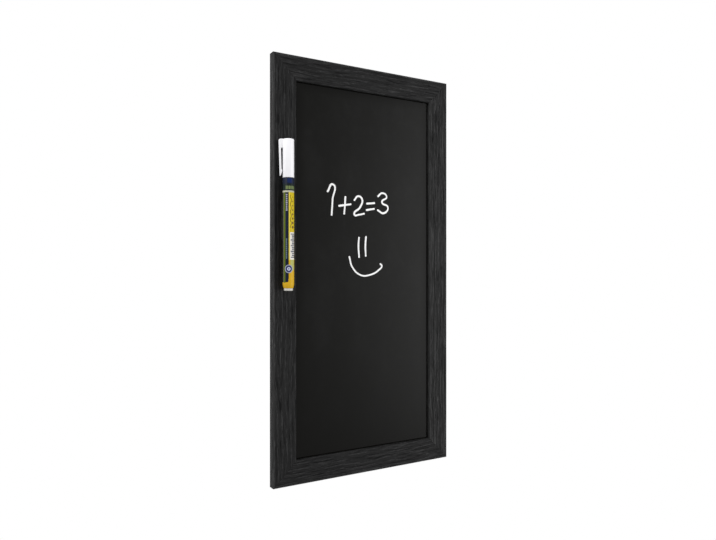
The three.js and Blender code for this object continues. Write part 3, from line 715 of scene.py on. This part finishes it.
def member_mesh(settings, run, seed, outer_side_light, inner_highlight):
    """One mitred length of moulding along Z, its outer edge at x = 0, with the grain cut into it. The
    values, from 0 to 1, say how strongly the pale edge colour shows: as painted light at the two ends of
    the outer side, and as painted highlight at the opening. On the rounds it is also thin stain."""
    bm = moulding_section(settings)
    steps = round(run / settings.station)
    for vert in bm.verts:
        vert.co.z = -run / 2
    sweep(bm, [*bm.verts, *bm.edges], (0, 0, 0), (0, 0, 1), steps, rise=(0, 0, run / steps))
    bmesh.ops.remove_doubles(bm, verts=bm.verts, dist=MERGED)
    bmesh.ops.holes_fill(bm, edges=[edge for edge in bm.edges if edge.is_boundary], sides=0)
    face_outwards(bm)
    groove_layer = bm.verts.layers.float.new("groove")
    wear_and_highlight_layer = bm.verts.layers.float.new("edge")
    back_width = FACE_WIDTH - settings.rabbet
    near = 0.01 * MM
    sunk = []
    for vert in bm.verts:
        across, depth = vert.co.x, vert.co.y
        from_outer = math.hypot(across, depth) / settings.outer_round
        from_inner = math.hypot(FACE_WIDTH - across, depth) / settings.inner_round
        share = vert.co.z / run + 0.5
        side_light = outer_side_light[0] * (1 - share) + outer_side_light[1] * share
        # Pale edge colour: thin stain and painted highlight on the rounds, painted highlight on the lip,
        # and painted light on the outer side, graded between its two ends.
        at_outer = max(min(1.0, 1.6 - from_outer), side_light if across < near else 0.0)
        at_inner = max(min(1.0, 1.6 - from_inner), 0.6 * (across > FACE_WIDTH - near))
        vert[wear_and_highlight_layer] = max(at_outer, at_inner * inner_highlight, 0.0)
        in_rabbet = across > back_width - near and depth > settings.lip - near
        if depth < FRAME_DEPTH - 0.6 * MM and not in_rabbet:
            sinking = groove_depth(across, depth, vert.co.z, seed)
            vert[groove_layer] = sinking
            flat = Vector((vert.normal.x, vert.normal.y, 0)).normalized()
            sunk.append((vert, flat * sinking * settings.groove))
    for vert, inwards in sunk:
        vert.co -= inwards
    gap = settings.mitre_gap / math.sqrt(2)
    for vert in bm.verts:
        vert.co.z *= (run / 2 - vert.co.x - gap) / (run / 2)
    return bm


class CHALKBOARD_OT_frame(bpy.types.Operator):
    """Models the frame's four mitred members in black grained wood."""

    bl_idname = "chalkboard.frame"
    bl_label = "Frame"

    def execute(self, context):
        settings = context.scene.chalkboard_frame
        left = black_wood(settings, "black_wood_left", False, 0.85, 0.1)
        right = black_wood(settings, "black_wood_right", False, 1.0, 0.6)
        level = black_wood(settings, "black_wood_level", True, 0.9, 0.2)
        width, height = RIGHT - LEFT, TOP - BOTTOM
        # Each member's pair is the painted light on its outer side at its two ends, which makes the left
        # stile's side lighter towards its top, and the number after it the painted highlight at the
        # opening, strongest on the right stile.
        members = [
            ("stile_left", height, width, 0, left, (0.05, 0.42), 0.0),
            ("rail_top", width, height, 90, level, (0.42, 0.42), 0.2),
            ("stile_right", height, width, 180, right, (0.42, 0.42), 0.7),
            ("rail_bottom", width, height, 270, level, (0.42, 0.42), 0.0),
        ]
        for number, (node, run, between, turn, material, *wear) in enumerate(members):
            bm = member_mesh(settings, run, 3.7 * number, *wear)
            place = Matrix.Translation(MIDDLE) @ Matrix.Rotation(math.radians(turn), 4, "Y")
            bm.transform(place @ Matrix.Translation((-between / 2, 0, 0)))
            new_piece(bm, node + "_grained", "board", material, [node])
        return {"FINISHED"}


# Writing panel and what is written on it.


# Written lines, in millimetres right and up from the middle of the board.
SUM_STROKES = [
    [(-42.6, 76.0), (-36.9, 83.0), (-37.3, 68.0), (-38.3, 53.6)],
    [(-30.0, 62.6), (-17.2, 64.8)],
    [(-23.1, 71.6), (-23.6, 63.0), (-24.4, 55.4)],
    [(-12.8, 69.2), (-8.6, 73.2), (-4.0, 70.4), (-6.2, 62.6), (-12.8, 54.8), (-7.6, 55.0), (-1.8, 56.2)],
    [(1.7, 66.4), (10.3, 67.4)],
    [(1.2, 60.0), (9.9, 61.6)],
    [(14.8, 74.6), (19.8, 78.0), (25.0, 74.6), (19.4, 68.9), (26.6, 63.8), (21.6, 57.8), (14.4, 60.4)],
]
SMILE_STROKES = [
    [(-7.6, 32.2), (-8.2, 24.4), (-7.5, 13.2)],
    [(0.5, 33.2), (-0.2, 24.6), (0.2, 14.4)],
    [(-18.6, 13.1), (-15.4, 3.4), (-5.8, -4.7), (5.2, -4.6), (15.9, 0.5), (19.2, 4.6), (17.5, 6.3)],
]


def written_line(points, width, film, name):
    """A line of dried ink on the panel: a tube along a smooth curve with round ends, pressed flat."""
    curve = bpy.data.curves.new(name, "CURVE")
    curve.dimensions = "3D"
    curve.bevel_depth = width / 2
    curve.bevel_resolution = 5
    curve.resolution_u = 14
    curve.use_fill_caps = True
    spline = curve.splines.new("BEZIER")
    spline.bezier_points.add(len(points) - 1)
    for index, (point, (right, up)) in enumerate(zip(spline.bezier_points, points)):
        point.co = (right * MM, 0, up * MM)
        point.handle_left_type = point.handle_right_type = "AUTO"
        point.radius = 0.93 + 0.1 * math.sin(2.3 * index + right)
    holder = bpy.data.objects.new(name, curve)
    bpy.context.scene.collection.objects.link(holder)
    bpy.context.view_layer.update()
    mesh = bpy.data.meshes.new_from_object(holder.evaluated_get(bpy.context.evaluated_depsgraph_get()))
    bpy.data.objects.remove(holder)
    bpy.data.curves.remove(curve)
    bm = bmesh.new()
    bm.from_mesh(mesh)
    bpy.data.meshes.remove(mesh)
    for right, up in (points[0], points[-1]):
        end = Matrix.Translation((right * MM, 0, up * MM))
        bmesh.ops.create_uvsphere(bm, u_segments=20, v_segments=12, radius=0.5 * width * 0.97, matrix=end)
    bmesh.ops.scale(bm, vec=(1, 2 * film / width, 1), verts=bm.verts)
    for vert in bm.verts:
        vert.co.y = min(vert.co.y, 0.0)
    merge_points(bm)
    bmesh.ops.translate(bm, verts=bm.verts, vec=(MIDDLE.x, PANEL_FRONT, MIDDLE.z))
    return bm


class CHALKBOARD_OT_panel(bpy.types.Operator):
    """Finishes the writing panel: black chalk lacquer in front and bare hardboard behind."""

    bl_idname = "chalkboard.panel"
    bl_label = "Writing panel"

    def execute(self, context):
        finish_node("writing_panel", chalk_lacquer(context.scene.chalkboard_panel))
        return {"FINISHED"}


class CHALKBOARD_OT_writing(bpy.types.Operator):
    """Writes a plain sum and a simple smile on the panel in chalk ink."""

    bl_idname = "chalkboard.writing"
    bl_label = "Writing"

    def execute(self, context):
        settings = context.scene.chalkboard_panel
        ink = chalk_ink(settings)
        widths = {"sum": settings.sum_stroke, "smile": settings.smile_stroke}
        for title, strokes in (("sum", SUM_STROKES), ("smile", SMILE_STROKES)):
            for number, points in enumerate(strokes, 1):
                name = f"chalk_{title}_{number}"
                line = written_line(points, widths[title], settings.film, name)
                new_piece(line, name, "board", ink, sharp=60.0)
        return {"FINISHED"}


# Fixings on the back.


def hanger_mesh(settings):
    """The sawtooth plate: an outline with its notches, bent at the ears, and thickened."""
    low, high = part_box("sawtooth_hanger")
    half = settings.pitch / 2 - settings.flat / 2
    outline = [(high.x, low.z), (high.x, high.z), (low.x, high.z), (low.x, low.z)]
    first = -settings.pitch * (settings.teeth - 1) / 2
    for index in range(settings.teeth):
        x = first + settings.pitch * index
        outline += [(x - half, low.z), (x, low.z + settings.depth), (x + half, low.z)]
    bm, verts = flat_shape([(x, low.y, z) for x, z in outline])
    corners = [vert for vert in verts if abs(abs(vert.co.x) - high.x) < 0.01 * MM]
    round_corners(bm, corners, 1.2 * MM)
    foot = high.x - settings.ear
    crest = foot - settings.ramp
    for x in (-foot, -crest, crest, foot):
        geom = [*bm.verts, *bm.edges, *bm.faces]
        bmesh.ops.bisect_plane(bm, geom=geom, plane_co=(x, 0, 0), plane_no=(1, 0, 0))
    lift = (high.y - low.y) - settings.sheet
    for vert in bm.verts:
        share = min(1.0, max(0.0, (foot - abs(vert.co.x)) / settings.ramp))
        vert.co.y += lift * share
    thicken(bm, settings.sheet)
    bevel_sharp(bm, 60, 0.12 * MM)
    return bm


def point_mesh(node):
    """A retaining point: a flat tab, pointed where it goes into the wood and round at its free end."""
    low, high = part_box(node)
    centre, size = (low + high) / 2, high - low
    reach, wide = max(size.x, size.z), min(size.x, size.z)
    upright = size.z > size.x
    inward = -1 if (centre.z > MIDDLE.z if upright else centre.x > MIDDLE.x) else 1
    tip, shoulder, end = -reach / 2, 2.5 * MM - reach / 2, reach / 2
    outline = [(tip, 0), (shoulder, -wide / 2), (end, -wide / 2), (end, wide / 2), (shoulder, wide / 2)]
    bm, verts = flat_shape([(along * inward, 0, across) for along, across in outline])
    round_corners(bm, verts[2:4], wide / 2 * 0.98, 8)
    thicken(bm, size.y)
    bevel_sharp(bm, 60, 0.08 * MM)
    x_for_z = Matrix(((0, 0, 1, 0), (0, 1, 0, 0), (1, 0, 0, 0), (0, 0, 0, 1)))
    bm.transform(Matrix.Translation((centre.x, low.y, centre.z)) @ (x_for_z if upright else Matrix()))
    return bm


def nail_mesh(node):
    """A round-headed nail, its point in the wood and its head on the hanger."""
    low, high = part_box(node)
    head, shank, tall = (high.x - low.x) / 2, 0.7 * MM, 0.8 * MM
    under = high.y - tall
    profile = [
        (0, low.y), (shank, low.y + 1.6 * MM), (shank, under), (head, under), (head, under + 0.35 * tall),
        (0.72 * head, under + 0.86 * tall), (0.3 * head, high.y), (0, high.y),
    ]
    return turned_fixing(node, profile, 32)


class CHALKBOARD_OT_fixings(bpy.types.Operator):
    """Models the hanger, its nails and the retaining points, and finishes the corner nails."""

    bl_idname = "chalkboard.fixings"
    bl_label = "Fixings"

    def execute(self, context):
        settings = context.scene.chalkboard_fixings
        zinc = finished_surface("zinc_plate", settings.zinc, 0.38, 0.9, 0.3, 0.01 * MM, 0.25, Metallic=1.0)
        new_piece(hanger_mesh(settings), "hanger_plate", "board", zinc, ["sawtooth_hanger"])
        for node in ("hanger_nail_left", "hanger_nail_right"):
            new_piece(nail_mesh(node), node + "_round", "board", zinc, [node])
        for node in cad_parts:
            if node.startswith("retaining_point_"):
                new_piece(point_mesh(node), node + "_tab", "board", zinc, [node])
            if node.startswith("v_nail_"):
                finish_node(node, zinc)
        return {"FINISHED"}


class CHALKBOARD_OT_bumpers(bpy.types.Operator):
    """Models the two rubber bumpers."""

    bl_idname = "chalkboard.bumpers"
    bl_label = "Bumpers"

    def execute(self, context):
        colour = context.scene.chalkboard_fixings.rubber
        rubber = finished_surface("bumper_rubber", colour, 0.75, 0.25, 0.2, 0.02 * MM, 0.3)
        for node in ("wall_bumper_left", "wall_bumper_right"):
            low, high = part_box(node)
            radius = (high.x - low.x) / 2
            profile = [(0, low.y), (radius, low.y), (radius, high.y - 1.0 * MM)]
            profile += [(radius - 0.3 * MM, high.y - 0.3 * MM), (radius - 1.0 * MM, high.y), (0, high.y)]
            bm = turned_fixing(node, profile, 64)
            bevel_sharp(bm, 25, 0.15 * MM)
            new_piece(bm, node + "_round", "board", rubber, [node])
        return {"FINISHED"}


class CHALKBOARD_OT_patches(bpy.types.Operator):
    """Models the loop patch on the stile and the hook patch round the marker's back."""

    bl_idname = "chalkboard.patches"
    bl_label = "Hook-and-loop patches"

    def execute(self, context):
        fabric = finished_surface("patch_fabric", (0.012, 0.012, 0.013), 0.95, 0.3, 0.1, 0.15 * MM, 0.4)
        low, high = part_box("loop_patch")
        corners = [(low.x, low.z), (high.x, low.z), (high.x, high.z), (low.x, high.z)]
        bm, verts = flat_shape([(x, high.y, z) for x, z in corners])
        round_corners(bm, verts, 1.5 * MM)
        thicken(bm, low.y - high.y)
        bevel_sharp(bm, 60, 0.2 * MM)
        new_piece(bm, "loop_pad", "board", fabric, ["loop_patch"])
        low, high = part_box("hook_patch")
        outer = high.y - AXIS.y
        inner = BARREL_RADIUS + 0.05 * MM
        reach = math.asin((high.x - low.x) / 2 / outer)
        start = Vector((math.sin(-reach), math.cos(-reach), 0))
        section = [(inner, low.z), (outer, low.z), (outer, high.z), (inner, high.z)]
        points = [AXIS + start * radius + Vector((0, 0, height)) for radius, height in section]
        bm, verts = flat_shape(points)
        sweep(bm, [*bm.faces, *bm.edges, *verts], AXIS, (0, 0, -1), 16, angle=2 * reach)
        new_piece(bm, "hook_band", "marker", fabric, ["hook_patch"])
        return {"FINISHED"}


# Marker.


def marker_piece(profile, closed=True, steps=STEPS, rounds=None):
    """A piece turned on the marker's axis, from millimetres out and up from its tail."""
    points = [(radius * MM, height * MM) for radius, height in profile]
    rounds = {index: radius * MM for index, radius in (rounds or {}).items()}
    return turned(points, Vector((AXIS.x, AXIS.y, TAIL)), closed, steps, rounds=rounds)


class CHALKBOARD_OT_barrel(bpy.types.Operator):
    """Models the marker's barrel in its printed sleeve."""

    bl_idname = "chalkboard.barrel"
    bl_label = "Barrel"

    def execute(self, context):
        bore, seat, neck_bore = BARREL - 1, BARREL - 1.75, NECK - 0.8
        snap = NECK + 0.1
        outside = [
            (seat, BARREL_FOOT), (BARREL - 0.85, BARREL_FOOT), (BARREL, BARREL_FOOT + 2.9),
            (BARREL, SHOULDER), (NECK, SHOULDER), (NECK, SHOULDER + 1.9), (snap, SHOULDER + 2.3),
            (snap, SHOULDER + 2.7), (NECK, SHOULDER + 3.1), (NECK, NECK_TOP),
        ]
        inside = [
            (neck_bore, NECK_TOP), (neck_bore, SHOULDER - 0.8), (bore, SHOULDER - 1.7),
            (bore, BARREL_FOOT + 5.75), (seat, BARREL_FOOT + 5),
        ]
        bm = marker_piece(outside + inside, rounds={2: 1.2})
        bevel_sharp(bm, 40, 0.12 * MM)
        map_label(bm)
        film = printed_film(context.scene.chalkboard_marker)
        new_piece(bm, "barrel_sleeve", "marker", film, ["marker_barrel"])
        return {"FINISHED"}


class CHALKBOARD_OT_cap(bpy.types.Operator):
    """Models the cap with its clip and its inner sleeve."""

    bl_idname = "chalkboard.cap"
    bl_label = "Cap"

    def execute(self, context):
        colour = context.scene.chalkboard_marker.cap
        plastic = finished_surface("cap_plastic", colour, 0.34, 0.5, 0.1, 0.006 * MM, 0.03)
        sleeve_end = span("nib_holder")[1] - 4.5
        roof, hollow = CAP_TOP - 1.5, BARREL - 0.9
        sleeve_bore, sleeve = 3.35, 4.05
        profile = [
            (0, roof), (sleeve_bore, roof), (sleeve_bore, sleeve_end), (sleeve, sleeve_end), (sleeve, roof),
            (hollow, roof), (hollow, CAP_MOUTH), (BARREL, CAP_MOUTH), (BARREL, CAP_TOP - 0.5), (0, CAP_TOP),
        ]
        shell = marker_piece(profile, closed=False, rounds={8: 0.9})
        bevel_sharp(shell, 60, 0.15 * MM)
        clip = clip_mesh()
        clip_data = bpy.data.meshes.new("clip")
        clip.to_mesh(clip_data)
        clip.free()
        shell.from_mesh(clip_data)
        bpy.data.meshes.remove(clip_data)
        new_piece(shell, "cap_shell", "cap", plastic, ["marker_cap"])
        return {"FINISHED"}


def clip_mesh():
    """The clip, drawn in side view and given its width, with rounded edges. It is turned towards the
    left and the wall, as the cap sits."""
    width, edge_round = 4.2, 0.2
    outer, lean, thick, shoulder = BARREL + 3.65, 1.0, 1.9, 1.9
    root, bump_face = BARREL - 0.6, BARREL + 0.3
    slot_top, tip, bump = CAP_TOP - 8.6, CAP_MOUTH + 1.7, CAP_MOUTH + 6.4
    top = CAP_TOP - 0.5
    low_shoulder = top - shoulder

    def inner(height):
        return outer - thick - lean * (low_shoulder - height) / (low_shoulder - tip)

    outline = [
        (root, slot_top), (inner(slot_top), slot_top), (inner(bump + 1.3), bump + 1.3),
        (bump_face, bump + 0.45), (bump_face, bump - 0.45), (outer - lean - 1.0, tip), (outer - lean, tip),
        (outer, low_shoulder), (outer, top), (root, top),
    ]
    bm, verts = flat_shape([(x * MM, -width / 2 * MM, z * MM) for x, z in outline])
    round_corners(bm, [verts[8]], shoulder * MM, 8)
    round_corners(bm, [verts[1]], 0.7 * MM, 6)
    for index in (2, 3, 4):
        round_corners(bm, [verts[index]], 0.3 * MM, 3)
    # The shoulder's arc ends on the corner below it, so that point is there twice.
    bmesh.ops.remove_doubles(bm, verts=bm.verts, dist=MERGED)
    thicken(bm, width * MM)
    bevel_sharp(bm, 60, edge_round * MM, 3)
    turn = Matrix.Rotation(math.radians(180 - CLIP_TURN), 4, "Z")
    bm.transform(Matrix.Translation((AXIS.x, AXIS.y, TAIL)) @ turn)
    return bm


def spring_mesh():
    """The valve's spring: a round wire wound up the marker's axis."""
    low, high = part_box("valve_spring")
    wire_radius, turns, steps = 0.25 * MM, 6, 24
    radius = (high.x - low.x) / 2 - wire_radius
    rise = (high.z - low.z - 2 * wire_radius) / (turns * steps)
    start = Matrix.Translation((AXIS.x + radius, AXIS.y, low.z + wire_radius))
    upright = start @ Matrix.Rotation(math.pi / 2, 4, "X")
    bm = bmesh.new()
    bmesh.ops.create_circle(bm, cap_ends=True, segments=10, radius=wire_radius, matrix=upright)
    foot = (AXIS.x, AXIS.y, low.z)
    angle = 2 * math.pi * turns
    sweep(bm, list(bm.faces), foot, (0, 0, 1), turns * steps, angle=angle, rise=(0, 0, rise))
    return bm


class CHALKBOARD_OT_nib(bpy.types.Operator):
    """Models the end plug, the nib, its holder and the spring, and finishes the valve inside."""

    bl_idname = "chalkboard.nib"
    bl_label = "Nib section"

    def execute(self, context):
        colour = context.scene.chalkboard_marker.cap
        plastic = finished_surface("holder_plastic", colour, 0.4, 0.5, 0.1, 0.006 * MM, 0.05)
        seal = finished_surface("seal_rubber", (0.1, 0.1, 0.11), 0.7, 0.3, 0.1, 0.01 * MM)
        bright = finished_surface("bright_steel", (0.6, 0.6, 0.61), 0.2, 0.5, 0.1, 0.002 * MM, Metallic=1.0)
        felt = finished_surface("nib_felt", (0.84, 0.84, 0.82), 0.92, 0.12, 0.1, 0.05 * MM, 0.12)
        # The tail plug's grey, darker than the cap, is partly painted shade under the marker's tail.
        grey = finished_surface("plug_plastic", (0.56, 0.55, 0.51), 0.4, 0.5, 0.1, 0.006 * MM, 0.05)
        foot, stem, plug_wall = BARREL - 1.1, BARREL - 1.85, 0.8
        lip_top, plug_top, plug_floor = BARREL_FOOT - 0.05, span("end_plug")[1], 1.5
        profile = [
            (0, 0), (foot, 0), (foot, lip_top), (stem, lip_top), (stem, plug_top),
            (stem - plug_wall, plug_top), (stem - plug_wall, plug_floor), (0, plug_floor),
        ]
        plug = marker_piece(profile, closed=False, rounds={1: 0.5})
        bevel_sharp(plug, 60, 0.15 * MM)
        new_piece(plug, "tail_plug", "marker", grey, ["end_plug"])
        low, high = span("nib_holder")
        flange, collar = NECK_TOP + 0.05, high - 10.7
        outside = [
            (2.6, low), (NECK - 0.9, low), (NECK - 0.9, flange), (NECK - 0.1, flange), (NECK - 0.1, collar),
            (3.7, collar), (3.7, high - 7.5), (2.7, high),
        ]
        inside = [(1.75, high), (1.75, low + 6.35), (2.2, low + 6.35), (2.2, low + 2.65), (2.6, low + 2.65)]
        holder = marker_piece(outside + inside)
        bevel_sharp(holder, 40, 0.15 * MM)
        new_piece(holder, "nib_housing", "marker", plastic, ["nib_holder"])
        low, high = span("writing_nib")
        radius, bullet = 1.6, 2.6
        angles = [math.pi / 20 * index for index in range(10)]
        tip = [(radius * math.cos(a), high - bullet + bullet * math.sin(a)) for a in angles]
        nib = marker_piece([(0, low), (radius, low), *tip, (0, high)], closed=False, steps=48)
        new_piece(nib, "felt_nib", "nib", felt, ["writing_nib"])
        node = "valve_spring"
        spring = new_piece(spring_mesh(), "wound_spring", "marker", bright, [node])
        low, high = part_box(node)
        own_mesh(spring)
        inner = {"valve_stem": plastic, "valve_cage": plastic, "valve_seat": seal, "mixing_ball": bright}
        for node, material in inner.items():
            finish_node(node, material)
        return {"FINISHED"}


# Stage.


# Each lamp's width and height, and its place from the middle of the board's front, in metres.
KEY_SIZE, KEY_PLACE = (0.36, 1.06), Vector((0.863, -0.834, 0.02))
SIDE_SIZE, SIDE_PLACE = (0.4, 0.4), Vector((-0.62, -0.12, 0.62))
FLOOR_REACH = 30.0


def seen_directly(tree):
    """1 for the camera and for what mirrors or glass show, and 0 for the light that falls on things."""
    path = tree.nodes.new("ShaderNodeLightPath").outputs
    seen = calc(tree, "MAXIMUM", path["Is Camera Ray"], path["Is Glossy Ray"])
    return calc(tree, "MAXIMUM", seen, path["Is Transmission Ray"])


def show_white(tree, lit, white, output):
    """Shows plain white to the camera, where light still meets the given surface or sky."""
    feeds = {0: seen_directly(tree), 1: lit, 2: white}
    shown = put(tree, "ShaderNodeMixShader", feeds).outputs[0]
    feed(tree, tree.nodes[output], {"Surface": shown})


def add_lamp(name, power, size, offset):
    """A soft oblong lamp that shines at the middle of the board's front."""
    data = bpy.data.lights.new(name, "AREA")
    data.energy = power
    data.shape = "RECTANGLE"
    data.size, data.size_y = size
    lamp = bpy.data.objects.new(name, data)
    lamp.location = MIDDLE + offset
    lamp.rotation_mode = "QUATERNION"
    lamp.rotation_quaternion = (MIDDLE - lamp.location).to_track_quat("-Z", "Y")
    bpy.context.scene.collection.objects.link(lamp)


class CHALKBOARD_OT_stage(bpy.types.Operator):
    """Sets up the camera, the soft light and the pale floor."""

    bl_idname = "chalkboard.stage"
    bl_label = "Stage"

    def execute(self, context):
        scene = context.scene
        settings = scene.chalkboard_stage
        camera_data = bpy.data.cameras.new("camera")
        camera_data.sensor_width = 36.0
        camera_data.lens = settings.focal / IMAGE_WIDTH * camera_data.sensor_width
        camera = bpy.data.objects.new("camera", camera_data)
        back = Vector((math.sin(settings.azimuth), -math.cos(settings.azimuth), 0))
        camera.rotation_mode = "QUATERNION"
        camera.location = MIDDLE + Vector(settings.aim) + back * settings.distance
        camera.rotation_quaternion = (-back).to_track_quat("-Z", "Y")
        scene.collection.objects.link(camera)
        scene.camera = camera

        world = bpy.data.worlds.new("studio")
        world.use_nodes = True
        scene.world = world
        tree = world.node_tree
        plain = tree.nodes["Background"]
        feed(tree, plain, {"Color": (1, 1, 1), "Strength": settings.daylight})
        white = put(tree, "ShaderNodeBackground", {"Color": (1, 1, 1), "Strength": 1.0})
        show_white(tree, plain.outputs[0], white.outputs[0], "World Output")
        add_lamp("key", settings.key_power, KEY_SIZE, KEY_PLACE)
        add_lamp("side", settings.side_power, SIDE_SIZE, SIDE_PLACE)

        floor_mesh = bpy.data.meshes.new("floor")
        bm = bmesh.new()
        bmesh.ops.create_grid(bm, x_segments=1, y_segments=1, size=FLOOR_REACH)
        bmesh.ops.translate(bm, verts=bm.verts, vec=(0, 0, BOTTOM - settings.floor_drop))
        bm.to_mesh(floor_mesh)
        bm.free()
        floor = bpy.data.objects.new("floor", floor_mesh)
        scene.collection.objects.link(floor)
        paint, tree, shader, _ = new_material("floor_white", (0.82, 0.82, 0.82), 0.7)
        white = put(tree, "ShaderNodeEmission", {"Strength": 1.0})
        show_white(tree, shader.outputs[0], white.outputs[0], "Material Output")
        floor_mesh.materials.append(paint)

        scene.view_settings.view_transform = "Standard"
        return {"FINISHED"}


OPERATORS = [
    CHALKBOARD_OT_frame,
    CHALKBOARD_OT_panel,
    CHALKBOARD_OT_writing,
    CHALKBOARD_OT_fixings,
    CHALKBOARD_OT_bumpers,
    CHALKBOARD_OT_patches,
    CHALKBOARD_OT_barrel,
    CHALKBOARD_OT_cap,
    CHALKBOARD_OT_nib,
    CHALKBOARD_OT_stage,
]
SETTINGS = {
    "chalkboard_frame": FrameSettings,
    "chalkboard_panel": PanelSettings,
    "chalkboard_marker": MarkerSettings,
    "chalkboard_fixings": FixingSettings,
    "chalkboard_stage": StageSettings,
}


class CHALKBOARD_PT_tools(bpy.types.Panel):
    """Lists the chalkboard's operators and settings."""

    bl_idname = "CHALKBOARD_PT_tools"
    bl_label = "Chalkboard"
    bl_space_type = "VIEW_3D"
    bl_region_type = "UI"
    bl_category = "Chalkboard"

    def draw(self, context):
        for operator in OPERATORS:
            self.layout.operator(operator.bl_idname)
        for name, group in SETTINGS.items():
            settings = getattr(context.scene, name)
            box = self.layout.box()
            for field in group.__annotations__:
                box.prop(settings, field)


def register():
    for kind in [*SETTINGS.values(), *OPERATORS, CHALKBOARD_PT_tools]:
        bpy.utils.register_class(kind)
    for name, group in SETTINGS.items():
        setattr(bpy.types.Scene, name, PointerProperty(type=group))


def unregister():
    for name in SETTINGS:
        delattr(bpy.types.Scene, name)
    for kind in [CHALKBOARD_PT_tools, *reversed(OPERATORS), *SETTINGS.values()]:
        bpy.utils.unregister_class(kind)


def main():
    register()
    for operator in OPERATORS:
        section, name = operator.bl_idname.split(".")
        getattr(getattr(bpy.ops, section), name)()


if __name__ == "__main__":
    main()
